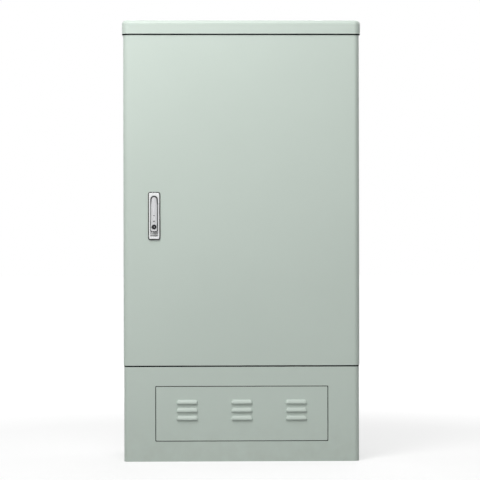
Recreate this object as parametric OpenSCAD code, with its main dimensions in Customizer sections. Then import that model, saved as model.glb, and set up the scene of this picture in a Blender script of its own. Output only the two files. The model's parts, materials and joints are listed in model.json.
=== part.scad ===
// Roadside utility cabinet: a moulded plinth with a louvred access panel, a panelled body,
// a pivoted door with a swing handle and a rod lock, a roof cap and a wiring frame inside.
// Millimetres. X runs to the right seen from the door, Y to the back, Z up.
// The origin lies on the ground under the middle of the body.

/* [Body] */
// Height from the ground to the top of the roof
cabinet_h = 1400; // [1300:10:1600]
// Width across the side panels
cabinet_w = 750; // [700:10:900]
// Depth from the face of the door to the face of the back panel
cabinet_d = 320; // [300:5:400]
// Outer radius of the upright edges
corner_r = 18; // [17:0.5:22]
// Thickness of the moulded body panels
panel_t = 5; // [4:0.5:6]
// Thickness of the floor panel
floor_t = 6; // [5:0.5:10]
// Thickness of the ceiling panel
ceiling_t = 5; // [4:0.5:8]
// How far each side panel returns along the back
back_return = 55; // [45:1:80]
// Width of the strip that the back panel laps over
lap_w = 25; // [20:1:40]
// Gap in the seam between the back panel and the side panels
seam_gap = 0.5; // [0.4:0.1:1.5]

/* [Plinth] */
// Height of the plinth
plinth_h = 300; // [280:5:400]
// How far the plinth stands back from the body on each side
plinth_inset = 1.5; // [1:0.5:4]
// Wall of the plinth
plinth_t = 6; // [5:0.5:8]
// Width of the flanges inside the plinth
plinth_flange_w = 45; // [42:1:60]
// Thickness of the flange that stands on the ground
foot_flange_t = 8; // [6:0.5:14]
// Thickness of the flange that carries the body
top_flange_t = 6; // [5:0.5:12]
// Diameter of the anchor holes in the ground flange
anchor_d = 14; // [10:0.5:18]
// Distance of the anchor holes from the plinth's outer faces
anchor_edge = 28.5; // [26:0.5:36]
// Diameter of the bolts that hold the body on the plinth
body_bolt_d = 10; // [8:1:12]

/* [Access panel] */
// Width of the opening in the plinth
hatch_w = 549; // [480:1:600]
// Height of the opening in the plinth
hatch_h = 176; // [150:1:190]
// Height of the opening's lower edge above the ground
hatch_z = 63.5; // [40:0.5:80]
// Gap round the access panel
hatch_gap = 2.5; // [1.5:0.1:4]
// Thickness of the access panel
hatch_t = 3.5; // [2.5:0.1:4.5]
// Louvres in each group
louvre_rows = 3; // [1:1:4]
// Groups of louvres
louvre_groups = 3; // [1:1:3]
// Straight length of a louvre's hood
louvre_l = 56; // [30:1:80]
// Height of a louvre's hood
louvre_h = 12.5; // [10:0.5:16]
// How far a louvre's hood stands out
louvre_out = 6; // [5:0.5:8]
// Wall of a louvre's hood
louvre_t = 2; // [1.5:0.1:2.5]
// Height from one louvre to the next
louvre_pitch = 25.4; // [22:0.2:30]
// Distance between the groups of louvres
louvre_group_pitch = 173; // [140:1:190]
// How far the middle of the louvres lies above the middle of the opening
louvre_rise = 13; // [0:1:20]
// Distance of a turn button's pivot from the side of the opening
button_in = 60; // [40:1:90]
// Distance of a turn button's pivot below the top of the opening
button_drop = 24; // [20:1:30]
// How far a turn button reaches behind the plinth's wall
button_grip = 15; // [8:1:20]
// Width of a turn button
button_w = 20; // [16:1:26]
// Thickness of a turn button
button_t = 4; // [3:0.5:6]
// Diameter of the stud that a turn button pivots on
button_stud_d = 8; // [6:0.5:10]

/* [Roof] */
// Height of the roof cap
roof_h = 43.5; // [42:0.5:60]
// How far the roof stands out past the body
roof_overhang = 4; // [3.8:0.1:8]
// Wall of the roof cap
roof_t = 3.5; // [3:0.1:3.6]
// Radius of the roof's top edge
roof_edge_r = 12; // [6:0.5:16]
// Diameter of the bosses inside the roof
roof_boss_d = 22; // [18:1:30]
// Diameter of the roof bolts
roof_bolt_d = 8; // [6:1:10]

/* [Door] */
// Depth of the door pan
door_d = 30; // [28:0.5:36]
// Wall of the door pan
door_t = 4; // [3:0.1:4.5]
// Gap between the door and the plinth
door_gap_bottom = 4.5; // [4:0.1:8]
// Gap between the door and the roof
door_gap_top = 4; // [3:0.1:8]
// Gap between the back of the door pan and the body
door_gap_back = 6; // [6:0.1:8]
// Distance of the pivot axis from the door's side face
pivot_in = 12.5; // [12:0.1:13]
// Distance of the pivot axis behind the door's face
pivot_back = 15; // [14.5:0.1:16]
// Diameter of the pivot pins
pivot_pin_d = 8; // [6:0.5:9]
// Length of a pivot bush below the wall of the door
pivot_bush_l = 22; // [15:1:40]
// Width of the rubber seal
seal_w = 14; // [10:1:18]
// Thickness of the rubber seal
seal_t = 12; // [8:0.5:13]
// Depth of a door stiffener
stiffener_d = 10; // [6:0.5:12]
// Width of a door stiffener
stiffener_w = 44; // [30:1:60]
// Width of the document pocket
pocket_w = 230; // [210:1:260]
// Height of the document pocket
pocket_h = 160; // [100:1:190]
// Depth of the document pocket
pocket_d = 28; // [16:1:30]

/* [Door frame] */
// Thickness of the frame's face
frame_t = 5; // [4:0.5:6]
// Width of the frame on the lock side
lock_stile_w = 42; // [40:1:50]
// Width of the frame on the pivot side
pivot_stile_w = 52; // [50:1:60]
// Height of the frame above and below the opening
frame_rail_h = 42; // [38:1:60]
// Thickness of the lip that bites on the seal
lip_t = 4; // [3:0.5:5]
// Radius of the opening's corners
opening_r = 12; // [10:1:16]
// Depth of the flange behind the frame
frame_flange_d = 25; // [20:1:30]
// Thickness of the flange behind the frame
frame_flange_t = 4; // [3:0.5:5]

/* [Handle] */
// Distance of the handle's axis from the door's lock-side face
handle_in = 98; // [92:1:120]
// Height of the middle of the handle above the ground
handle_z = 779; // [700:1:900]
// Width of the bezel
bezel_w = 36; // [34:0.5:40]
// Height of the bezel
bezel_h = 149; // [144:1:165]
// How far the bezel's rim stands proud of the door
bezel_rim = 5; // [3:0.5:6]
// Radius of the bezel's corners
bezel_r = 5; // [3:0.5:8]
// Width of the dished middle of the bezel
dish_w = 24; // [23:0.5:26]
// Width of the rim above the dish
dish_top = 10.5; // [9:0.5:16]
// Width of the rim below the dish
dish_bottom = 9.5; // [8:0.5:14]
// Depth of the dish behind the door's face
dish_d = 10; // [8:0.5:12]
// Wall of the tub behind the dish
tub_t = 2.5; // [2:0.1:3]
// Floor of the tub
tub_floor_t = 4; // [3:0.5:6]
// Width of the lever
lever_w = 19.5; // [17:0.5:20]
// Width of the lever at its pivot
lever_head_w = 15; // [14:0.5:16]
// Distance from the pivot to the lever's free end
lever_l = 100; // [97:1:104]
// Thickness of the lever
lever_t = 12; // [11.5:0.5:14]
// How far the lever lies off the rim
lever_clear = 0.5; // [0.3:0.1:1]
// Radius of the crown across the lever's face
lever_crown_r = 22; // [18:1:40]
// Diameter of the cross pin
cross_pin_d = 4; // [3:0.5:5]
// Distance from the pivot to the middle of the oval plate
plate_drop = 60; // [50:1:62]
// Width of the oval plate
plate_w = 11; // [8:0.5:12]
// Length of the oval plate
plate_l = 27; // [20:1:28]
// Distance from the pivot to the lock barrel
barrel_drop = 87; // [84:1:88]
// Outer diameter of the lock barrel
barrel_d = 15.5; // [13:0.5:16]
// Diameter of the key plug
plug_d = 11; // [8:0.5:12]

/* [Rod lock] */
// Diameter of the spindle's journal
spindle_d = 12; // [11:0.5:13]
// Width across the flats of the spindle's square
spindle_square = 8; // [7:0.5:8]
// Tooth size of the pinion and racks
gear_module = 1.5; // [1.4:0.1:1.6]
// Teeth of the pinion
gear_teeth = 17; // [15:2:19]
// Diameter of the lock rods
rod_d = 8; // [7:0.5:9]
// Distance of the rods behind the frame's back face
rod_behind = 7; // [6.5:0.1:9]
// How far each rod stops short of the opening's edge
rod_short = 1.5; // [1:0.1:4]
// Half the height of the lock case
case_half_h = 34; // [32:1:40]
// Wall of the lock case beside the racks
case_wall = 8; // [7:0.5:10]
// Thickness of the lock cover
cover_t = 3; // [2:0.5:5]
// Length of a rod guide along the rod
guide_l = 18; // [12:1:30]

/* [Inside] */
// Distance of the uprights from the cabinet's sides
upright_in = 155; // [140:1:175]
// Depth of the uprights
upright_d = 35; // [25:1:50]
// Width of an upright's face
upright_w = 40; // [32:1:50]
// Thickness of the folded steel
steel_t = 2.5; // [2:0.1:3]
// Height of a cross rail
rail_h = 35; // [30:1:45]
// Depth of a cross rail
rail_d = 12; // [10:0.5:16]
// Height of the lowest cross rail above the floor
rail_z = 165; // [155:1:180]
// Distance between the cross rails
rail_pitch = 220; // [210:1:230]
// Least height left free above the highest cross rail
rail_clear = 100; // [60:5:200]
// Distance of the module frames from the middle
stack_x = 112; // [100:1:115]
// Width of a connection module
module_w = 124; // [90:1:130]
// Height of a connection module
module_h = 48; // [36:1:52]
// Depth of a connection module
module_d = 42; // [30:1:60]
// Distance between the connection modules
module_pitch = 54; // [53:0.5:56]
// Least height left free above the module frames
stack_clear = 60; // [45:5:90]
// Height of the earth bar above the floor
earth_z = 85; // [70:1:100]
// Height of the earth bar's face
earth_h = 25; // [20:1:40]
// Thickness of the earth bar
earth_t = 5; // [4:0.5:8]
// Screws in the earth bar
earth_screws = 6; // [2:1:8]
// Cable entries in the gland plate
entry_count = 4; // [2:1:4]
// Distance between the cable entries
entry_pitch = 100; // [90:1:105]
// Inner diameter of the cable entries
entry_d = 32; // [20:1:44]
// Wall of a rubber grommet inside the gland plate's hole
grommet_t = 8; // [5:0.5:10]
// Thickness of the gland plate
gland_t = 3; // [2:0.5:5]

/* [Fits] */
// Radial clearance of pins and journals that turn
run_fit = 0.05; // [0.02:0.01:0.1]
// Radial clearance of rods that slide
slide_fit = 0.1; // [0.05:0.01:0.2]
// Clearance between pieces that move past each other
move_gap = 0.4; // [0.3:0.05:0.5]
// Radial clearance of bolts in their holes
bolt_gap = 0.3; // [0.2:0.05:0.6]
// Clearance of a piece let into another
let_in_gap = 0.1; // [0.05:0.05:0.3]
// Side play between the teeth
gear_play = 0.25; // [0.15:0.05:0.35]

/* [Hidden] */
$fn = 64;
overlap = 1;

// Main faces of the body
half_w = cabinet_w / 2;
front_y = -cabinet_d / 2;
back_y = cabinet_d / 2;
inner_x = half_w - panel_t;
inner_back_y = back_y - panel_t;
body_z0 = plinth_h;
body_z1 = cabinet_h - roof_h;
floor_z = body_z0 + floor_t;
back_seam_x = half_w - back_return;

// Door and frame
door_z0 = body_z0 + door_gap_bottom;
door_z1 = body_z1 - door_gap_top;
door_back_y = front_y + door_d;
skin_y = front_y + door_t;
frame_y = door_back_y + door_gap_back;
frame_back_y = frame_y + frame_t;
opening = [
    -half_w + lock_stile_w, body_z0 + frame_rail_h,
    half_w - pivot_stile_w, body_z1 - frame_rail_h
];
lip_y = skin_y + seal_t + move_gap;
pivot_x = half_w - pivot_in;
pivot_y = front_y + pivot_back;

// Plinth and access panel
plinth_w = cabinet_w - 2 * plinth_inset;
plinth_d = cabinet_d - 2 * plinth_inset;
plinth_r = corner_r - plinth_inset;
plinth_front_y = -plinth_d / 2;
plinth_inner_y = plinth_front_y + plinth_t;
flange_window_w = plinth_w - 2 * (plinth_t + plinth_flange_w);
flange_window_d = plinth_d - 2 * (plinth_t + plinth_flange_w);
anchor_x = plinth_w / 2 - anchor_edge;
anchor_y = plinth_d / 2 - anchor_edge;
hatch_r = 3;
hatch_rim_d = plinth_t - hatch_t - move_gap;
hatch_rim_t = 4;
hatch_back_y = plinth_front_y + hatch_t;
louvre_z0 = hatch_z + hatch_h / 2 + louvre_rise - ((louvre_rows - 1) * louvre_pitch + louvre_h) / 2;
louvre_arc_r = (louvre_h * louvre_h + louvre_out * louvre_out) / (2 * louvre_out);
louvre_slot_h = louvre_h / 2;
button_x = hatch_w / 2 - button_in;
button_z = hatch_z + hatch_h - button_drop;
button_y = plinth_inner_y + move_gap;
button_back_y = button_y + button_t;
button_l = button_drop + button_grip;
button_grip_h = 10;
button_grip_t = 4;
nut_t = 6;
stud_shoulder = 4;
nut_w_ratio = 1.9;
lug_x = hatch_w / 4;
lug_w = 40;
lug_grip = 12;
lug_h = 26;

// Roof
roof_w = cabinet_w + 2 * roof_overhang;
roof_d = cabinet_d + 2 * roof_overhang;
roof_r = corner_r + roof_overhang;
ceiling_z = body_z1 + ceiling_t;
roof_bolt_edge = [75, 90];
roof_bolt_x = half_w - roof_bolt_edge[0];
roof_bolt_y = back_y - roof_bolt_edge[1];
roof_bolt_depth = 20;

// Pivot hardware
bracket_t = 5;
bracket_w = 2 * (pivot_in - 1);
bracket_tail = 55;
bracket_bolt_edge = 15;
bracket_bolt_in = 4;
bracket_end_y = frame_back_y + frame_flange_d + bracket_tail;
bracket_bolt_x = pivot_x - bracket_bolt_in;
bracket_bolt_d = 8;
bracket_bolt_pitch = 28;
sole_t = 3;
sole_l = 50;
sole_r = 7.5;
sole_z = plinth_h - sole_t;
sole_screw_d = 6;
sole_screw_in = [22, 40];
sole_screw_x = [for (in = sole_screw_in) pivot_x - in];
sole_edge = 0.5;
bush_r = 7;
bush_wall = 1.5;
bush_spigot_r = pivot_pin_d / 2 + bush_wall;
pin_head_h = 4;
pin_head_r = 7;

// Handle
handle_x = -half_w + handle_in;
bezel_z0 = handle_z - bezel_h / 2;
bezel_z1 = handle_z + bezel_h / 2;
dish_z0 = bezel_z0 + dish_bottom;
dish_z1 = bezel_z1 - dish_top;
spindle_z = dish_z1 - dish_w / 2;
dish_y = front_y + dish_d;
tub_y = dish_y + tub_floor_t;
scoop_z = spindle_z - lever_l;
rim_y = front_y - bezel_rim;
lever_back_y = rim_y - lever_clear;
lever_front_y = lever_back_y - lever_t;
cross_pin_y = (lever_back_y + lever_front_y) / 2;
cross_pin_l = lever_head_w - 2;
tongue_w = 8;
tongue_r = 4.3;
lift_angle = 30;
collar_t = 2.5;
collar_r = 9;
lever_taper = 18;
lever_end_r = 4;
arc_points = 20;
plate_proud = 0.4;
plate_t = 1.6;
plate_hole_r = 1.2;
plate_hole_spread = 2;
plate_hole_pitch = plate_l - plate_w + plate_hole_spread;
key_slot_w = 1.8;
key_slot_l = plug_d * 7 / 10;
key_slot_d = 6;
clamp_t = 2.5;
clamp_edge = 12;
clamp_y = skin_y + clamp_t;

// Document pocket
pocket_t = 2.5;
pocket_z = (door_z0 + door_z1) / 2 - pocket_h / 2;
pocket_x = 25;

// Rod lock
pitch_r = gear_module * gear_teeth / 2;
pressure_angle = 20;
flank_points = 6;
rack_addendum = 0.9 * gear_module;
rack_dedendum = 1.25 * gear_module;
rack_pitch = PI * gear_module;
rod_travel = pitch_r * PI / 2;
rack_bar = rod_d + 1;
rod_offset = pitch_r + rack_dedendum + rack_bar / 2;
rod_y = frame_back_y + rod_behind;
rack_y0 = rod_y - rack_bar / 2;
rack_y1 = rod_y + rack_bar / 2;
rack_reach = 3 * rack_pitch;
channel_half_w = rod_offset + rack_bar / 2 + move_gap;
case_half_w = channel_half_w + case_wall;
cover_y0 = rack_y1 + move_gap;
cover_y1 = cover_y0 + cover_t;
case_screw_d = 4;
case_screw_x = channel_half_w + case_wall / 2;
case_screw_edge = 6;
case_screw_z = case_half_h - case_screw_edge;
spindle_end_y = cover_y1 + move_gap;
washer_t = 1.5;
spindle_bolt_d = 5;
spindle_bolt_l = 14;
guide_foot_w = 40;
guide_foot_t = 6;
guide_wall = 5;
guide_head_w = rod_d + 2 * guide_wall;
guide_back_y = rod_y + rod_d / 2 + guide_wall;
guide_edge = 50;
guide_near_up = 130;
guide_near_down = 180;
strike_t = rod_behind - rod_d / 2 - move_gap;
strike_w = 40;
strike_h = 30;

// Inside
upright_x = half_w - upright_in;
upright_y = inner_back_y - upright_d;
upright_foot_w = 18;
upright_z1 = body_z1;
rail_y = upright_y - rail_d;
rail_l = 2 * upright_x + upright_w;
rail_lip = 8;
rail_count = floor((body_z1 - rail_clear - floor_z - rail_z) / rail_pitch) + 1;
stack_y = rail_y - steel_t;
stack_wall = 14;
stack_w = module_w + 2 * (steel_t + move_gap);
stack_drop = 30;
stack_z0 = floor_z + rail_z + rail_pitch - rail_h / 2 - stack_drop;
stack_edge = 12;
module_count = floor((body_z1 - stack_clear - stack_z0 - 2 * stack_edge) / module_pitch);
stack_h = module_count * module_pitch + 2 * stack_edge;
module_slot_rows = [0.22, 0.62];
module_slot_share = 0.16;
module_slot_edge = 6;
module_slot_d = 5;
insulator_r = 10;
insulator_h = 22;
earth_y1 = upright_y - insulator_h;
earth_y0 = earth_y1 - earth_t;
earth_end = 25;
earth_l = 2 * (upright_x + earth_end);
earth_bar_z = floor_z + earth_z;
earth_bolt_d = 6;
earth_screw_edge = 30;
earth_pitch = 2 * (upright_x - earth_screw_edge) / (earth_screws + 1);
earth_screw_tail = 4;
clamp_block_w = 44;
clamp_block_h = 26;
clamp_block_d = 34;
clamp_bore_r = 11;
gland_y = 15;
gland_end = 20;
gland_w = entry_count * entry_pitch + 2 * gland_end;
gland_d = 130;
gland_lap = 16;
gland_screw_d = 5;
grommet_lip = 4;
grommet_r = entry_d / 2 + grommet_t;

// Screws of the panels and rails, and fastener heads as width and height
screw_d = 6;
m4_head = [7, 2.6];
m5_head = [9, 3.5];
m6_head = [12, 3.8];
m8_head = [15, 5.3];
m10_head = [18.5, 6.4];

// Rows of fastener places
function spread(a, b, n) = [for (i = [0 : n - 1]) a + (b - a) * i / (n - 1)];
side_screw_edge = 70;
flange_screw_edge = 110;
upright_screw_edge = 100;
side_zs = spread(body_z0 + side_screw_edge, body_z1 - side_screw_edge, 5);
flange_zs = spread(body_z0 + flange_screw_edge, body_z1 - flange_screw_edge, 4);
body_bolt_x = plinth_w / 2 - plinth_t - plinth_flange_w / 2;
body_bolt_edge = [25, 40];
body_bolt_ys = [frame_back_y + frame_flange_d + body_bolt_edge[0], inner_back_y - body_bolt_edge[1]];
upright_zs = spread(body_z0 + upright_screw_edge, body_z1 - upright_screw_edge, 4);
rail_zs = [for (i = [0 : rail_count - 1]) floor_z + rail_z + i * rail_pitch];
entry_xs = [for (i = [0 : entry_count - 1]) (i - (entry_count - 1) / 2) * entry_pitch];
earth_xs = [for (i = [1 : earth_screws]) (i - (earth_screws + 1) / 2) * earth_pitch];
guide_zs_up = [spindle_z + guide_near_up, opening[3] - guide_edge];
guide_zs_down = [spindle_z - guide_near_down, opening[1] + guide_edge];

// Straight solid from an outline in the XZ plane, between two depths
module upright_sheet(y0, y1) {
    translate([0, y1, 0]) rotate([90, 0, 0]) linear_extrude(y1 - y0) children();
}

// Rectangle between two corners, with round corners
module rounded_rect(x0, y0, x1, y1, r) {
    translate([x0 + r, y0]) square([x1 - x0 - 2 * r, y1 - y0]);
    translate([x0, y0 + r]) square([x1 - x0, y1 - y0 - 2 * r]);
    for (x = [x0 + r, x1 - r], y = [y0 + r, y1 - r]) translate([x, y]) circle(r);
}

// A box between two corners
module block(p, q) {
    translate(p) cube(q - p);
}

// Frame opening grown by an amount on every side
module opening_shape(grow) {
    r = opening_r + grow;
    rounded_rect(opening[0] - grow, opening[1] - grow, opening[2] + grow, opening[3] + grow, r);
}

// Bolt along +Z: the head stands on the seat at zero and the shank goes down
module hex_bolt(d, length, head) {
    cylinder(h = head[1], d = head[0] / cos(30), $fn = 6);
    translate([0, 0, -length]) cylinder(h = length + overlap, d = d);
}

// Screw along +Z with a low round head and a hex socket
module button_screw(d, length, head) {
    difference() {
        union() {
            cylinder(h = head[1], d = head[0]);
            translate([0, 0, -length]) cylinder(h = length + overlap, d = d);
        }
        translate([0, 0, head[1] * 0.4]) cylinder(h = head[1], d = d * 0.7, $fn = 6);
    }
}

// Hole along Z through everything between two heights
module hole(d, z0, z1) {
    translate([0, 0, z0 - overlap]) cylinder(h = z1 - z0 + 2 * overlap, d = d);
}

// Turn a shape made along +Z so that it points to the front, the back or the right
module to_front() { rotate([90, 0, 0]) children(); }
module to_back() { rotate([-90, 0, 0]) children(); }
module to_right() { rotate([0, 90, 0]) children(); }

// Place children at the mirrored copy too
module both_sides() {
    children();
    mirror([1, 0, 0]) children();
}

// Plan of a body plate: square in front, rounded behind
module body_plan(hw, y0, y1, r) {
    translate([-hw, y0]) square([2 * hw, y1 - r - y0]);
    translate([-hw + r, y1 - r - overlap]) square([2 * (hw - r), r + overlap]);
    for (x = [-hw + r, hw - r]) translate([x, y1 - r]) circle(r);
}

// Profile of a crowned wall: u runs outwards, the top outer edge is round
module crown_profile(rv, h, re) {
    square([rv, h - re]);
    square([rv - re, h]);
    translate([rv - re, h - re]) intersection() {
        circle(re);
        square(re);
    }
}

// Block with round upright edges and a round top edge
module crowned_block(w, d, h, rv, re) {
    translate([-w / 2 + rv, -d / 2 + rv, 0]) cube([w - 2 * rv, d - 2 * rv, h]);
    for (side = [0, 180]) rotate([0, 0, side]) {
        translate([w / 2 - rv, d / 2 - rv, 0]) rotate([90, 0, 0])
            linear_extrude(d - 2 * rv) crown_profile(rv, h, re);
        translate([-w / 2 + rv, d / 2 - rv, 0]) rotate([90, 0, 90])
            linear_extrude(w - 2 * rv) crown_profile(rv, h, re);
    }
    for (sx = [0, 1], sy = [0, 1]) mirror([sx, 0, 0]) mirror([0, sy, 0])
        translate([w / 2 - rv, d / 2 - rv, 0]) rotate_extrude(angle = 90) crown_profile(rv, h, re);
}

module plinth() color([0.70, 0.75, 0.71]) difference() {
    linear_extrude(plinth_h)
        rounded_rect(-plinth_w / 2, -plinth_d / 2, plinth_w / 2, plinth_d / 2, plinth_r);
    translate([0, 0, foot_flange_t]) linear_extrude(plinth_h - foot_flange_t - top_flange_t)
        rounded_rect(
            -plinth_w / 2 + plinth_t, -plinth_d / 2 + plinth_t,
            plinth_w / 2 - plinth_t, plinth_d / 2 - plinth_t, plinth_r - plinth_t
        );
    translate([-flange_window_w / 2, -flange_window_d / 2, -overlap])
        cube([flange_window_w, flange_window_d, plinth_h + 2 * overlap]);
    upright_sheet(plinth_front_y - overlap, plinth_inner_y + overlap)
        rounded_rect(-hatch_w / 2, hatch_z, hatch_w / 2, hatch_z + hatch_h, hatch_r);
    for (x = [-anchor_x, anchor_x], y = [-anchor_y, anchor_y])
        translate([x, y, 0]) hole(anchor_d, 0, foot_flange_t);
    for (x = [-body_bolt_x, body_bolt_x], y = body_bolt_ys)
        translate([x, y, 0]) hole(body_bolt_d + 2 * bolt_gap, plinth_h - top_flange_t, plinth_h);
    for (x = sole_screw_x)
        translate([x, pivot_y, 0]) hole(sole_screw_d + 2 * bolt_gap, plinth_h - top_flange_t, plinth_h);
    translate([0, 0, sole_z]) linear_extrude(sole_t + overlap) sole_outline(let_in_gap);
}

// Louvre in front of the panel: a bent band with round ends, open below
module louvre_band() intersection() {
    difference() {
        translate([louvre_out - louvre_arc_r, 0]) circle(louvre_arc_r);
        translate([louvre_out - louvre_arc_r, 0]) circle(louvre_arc_r - louvre_t);
    }
    square([louvre_out, louvre_h]);
}

module louvre() {
    translate([louvre_l / 2, 0, 0]) rotate([90, 0, -90]) linear_extrude(louvre_l) louvre_band();
    translate([louvre_l / 2, 0, 0]) rotate([0, 0, -90]) rotate_extrude(angle = 90) louvre_band();
    translate([-louvre_l / 2, 0, 0]) rotate([0, 0, 180]) rotate_extrude(angle = 90) louvre_band();
}

module louvre_places() {
    for (g = [0 : louvre_groups - 1], r = [0 : louvre_rows - 1])
        translate([
            (g - (louvre_groups - 1) / 2) * louvre_group_pitch,
            plinth_front_y,
            louvre_z0 + r * louvre_pitch
        ]) children();
}

module access_panel() color([0.69, 0.74, 0.70]) {
    w = hatch_w / 2 - hatch_gap;
    z0 = hatch_z + hatch_gap;
    z1 = hatch_z + hatch_h - hatch_gap;
    difference() {
        upright_sheet(plinth_front_y, hatch_back_y) rounded_rect(-w, z0, w, z1, hatch_r);
        louvre_places() translate([-louvre_l / 2, -overlap, 0])
            cube([louvre_l, hatch_t + 2 * overlap, louvre_slot_h]);
    }
    louvre_places() louvre();
    upright_sheet(hatch_back_y, hatch_back_y + hatch_rim_d) difference() {
        rounded_rect(-w, z0, w, z1, hatch_r);
        translate([-w + hatch_rim_t, z0 + hatch_rim_t])
            square([2 * (w - hatch_rim_t), z1 - z0 - 2 * hatch_rim_t]);
    }
    both_sides() {
        translate([button_x, hatch_back_y, button_z]) to_back() {
            cylinder(h = button_y - move_gap - hatch_back_y, d = button_stud_d + 2 * stud_shoulder);
            cylinder(h = button_back_y + nut_t + move_gap - hatch_back_y, d = button_stud_d);
        }
        block([lug_x - lug_w / 2, hatch_back_y, z0 + hatch_rim_t],
              [lug_x + lug_w / 2, button_back_y, z0 + lug_h]);
        block([lug_x - lug_w / 2, button_y, hatch_z - lug_grip],
              [lug_x + lug_w / 2, button_back_y, z0 + lug_h]);
    }
}

// One turn button, upright behind the plinth's wall, with a grip to turn it by
module turn_button() difference() {
    union() {
        upright_sheet(button_y, button_back_y) {
            translate([button_x - button_w / 2, button_z]) square([button_w, button_l]);
            translate([button_x, button_z]) circle(d = button_w);
        }
        block([button_x - button_grip_t / 2, button_back_y - overlap, button_z + button_l / 2],
              [button_x + button_grip_t / 2, button_back_y + button_grip_h, button_z + button_l]);
    }
    translate([button_x, 0, button_z]) to_back()
        hole(button_stud_d + 2 * run_fit, button_y, button_back_y);
}

module turn_button_left() color([0.72, 0.73, 0.74]) mirror([1, 0, 0]) turn_button();
module turn_button_right() color([0.72, 0.73, 0.74]) turn_button();

module turn_button_nuts() color([0.75, 0.75, 0.76]) both_sides()
    translate([button_x, button_back_y + move_gap, button_z]) to_back() difference() {
        cylinder(h = nut_t, d = button_stud_d * nut_w_ratio, $fn = 6);
        hole(button_stud_d + 2 * let_in_gap, 0, nut_t);
    }

module floor_panel() color([0.66, 0.70, 0.67]) difference() {
    translate([0, 0, body_z0]) linear_extrude(floor_t) {
        body_plan(inner_x, frame_back_y, inner_back_y - panel_t, corner_r);
        translate([-back_seam_x + lap_w + seam_gap, 0])
            square([2 * (back_seam_x - lap_w - seam_gap), inner_back_y]);
    }
    block([-gland_w / 2 + gland_lap, gland_y - gland_d / 2 + gland_lap, body_z0 - overlap],
          [gland_w / 2 - gland_lap, gland_y + gland_d / 2 - gland_lap, floor_z + overlap]);
    for (x = [-body_bolt_x, body_bolt_x], y = body_bolt_ys)
        translate([x, y, 0]) hole(body_bolt_d + 2 * bolt_gap, body_z0, floor_z);
    gland_screw_places() hole(gland_screw_d + 2 * bolt_gap, body_z0, floor_z);
}

module gland_screw_places() {
    for (x = [-1, 0, 1], y = [-1, 1])
        translate([x * (gland_w - gland_lap) / 2, gland_y + y * (gland_d - gland_lap) / 2, 0]) children();
}

module gland_plate() color([0.74, 0.75, 0.76]) difference() {
    block([-gland_w / 2, gland_y - gland_d / 2, floor_z],
          [gland_w / 2, gland_y + gland_d / 2, floor_z + gland_t]);
    for (x = entry_xs) translate([x, gland_y, 0])
        hole(2 * (grommet_r + let_in_gap), floor_z, floor_z + gland_t);
    gland_screw_places() hole(gland_screw_d + 2 * bolt_gap, floor_z, floor_z + gland_t);
}

module gland_plate_screws() color([0.70, 0.70, 0.71]) gland_screw_places()
    translate([0, 0, floor_z + gland_t]) button_screw(gland_screw_d, gland_t + floor_t, m5_head);

module cable_grommets() color([0.12, 0.12, 0.12]) for (x = entry_xs)
    translate([x, gland_y, floor_z]) rotate_extrude() {
        translate([entry_d / 2, -grommet_lip]) square([grommet_t, gland_t + 2 * grommet_lip]);
        translate([entry_d / 2, -grommet_lip]) square([grommet_t + grommet_lip, grommet_lip]);
        translate([entry_d / 2, gland_t]) square([grommet_t + grommet_lip, grommet_lip]);
    }

// Plan of the right side panel with its round back edge and the strip that the back panel laps
module side_plan() {
    cx = half_w - corner_r;
    cy = back_y - corner_r;
    translate([inner_x, frame_back_y]) square([panel_t, cy - frame_back_y]);
    translate([cx, cy]) intersection() {
        difference() {
            circle(corner_r);
            circle(corner_r - panel_t);
        }
        square(corner_r);
    }
    translate([back_seam_x, inner_back_y]) square([cx - back_seam_x, panel_t]);
    translate([back_seam_x - lap_w, inner_back_y - panel_t]) square([lap_w + 2 * panel_t, panel_t]);
}

module side_panel() difference() {
    translate([0, 0, body_z0]) linear_extrude(body_z1 - body_z0) side_plan();
    for (z = side_zs) translate([back_seam_x - lap_w / 2, inner_back_y, z]) to_front()
        hole(screw_d + 2 * bolt_gap, 0, panel_t);
    for (z = flange_zs) translate([inner_x, frame_back_y + frame_flange_d / 2, z]) to_right()
        hole(screw_d + 2 * bolt_gap, 0, panel_t * 0.6 - overlap);
}

module side_panel_left() color([0.71, 0.76, 0.72]) mirror([1, 0, 0]) side_panel();
module side_panel_right() color([0.71, 0.76, 0.72]) side_panel();

module back_panel() color([0.70, 0.75, 0.71]) difference() {
    w = back_seam_x - seam_gap;
    block([-w, inner_back_y, body_z0], [w, back_y, body_z1]);
    both_sides() {
        for (z = side_zs) translate([back_seam_x - lap_w / 2, inner_back_y, z]) to_back()
            hole(screw_d + 2 * bolt_gap, 0, panel_t);
        upright_bolt_places() hole(screw_d + 2 * bolt_gap, -panel_t, 0);
    }
}

module back_panel_screws() color([0.74, 0.75, 0.76]) both_sides() {
    for (z = side_zs)
        translate([back_seam_x - lap_w / 2, back_y, z]) to_back() button_screw(screw_d, 2 * panel_t, m6_head);
    upright_bolt_places() button_screw(screw_d, panel_t + steel_t, m6_head);
}

module door_frame() color([0.66, 0.71, 0.67]) difference() {
    union() {
        upright_sheet(frame_y, frame_back_y) difference() {
            translate([-half_w, body_z0]) square([cabinet_w, body_z1 - body_z0]);
            opening_shape(0);
        }
        upright_sheet(lip_y, frame_y) difference() {
            opening_shape(lip_t);
            opening_shape(0);
        }
        upright_sheet(frame_back_y, frame_back_y + frame_flange_d) difference() {
            translate([-inner_x, floor_z]) square([2 * inner_x, body_z1 - floor_z]);
            translate([-inner_x + frame_flange_t, floor_z + frame_flange_t])
                square([2 * (inner_x - frame_flange_t), body_z1 - floor_z - 2 * frame_flange_t]);
        }
    }
    both_sides() for (z = flange_zs)
        translate([inner_x - frame_flange_t, frame_back_y + frame_flange_d / 2, z]) to_right()
            hole(screw_d + 2 * bolt_gap, 0, frame_flange_t);
}

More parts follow.
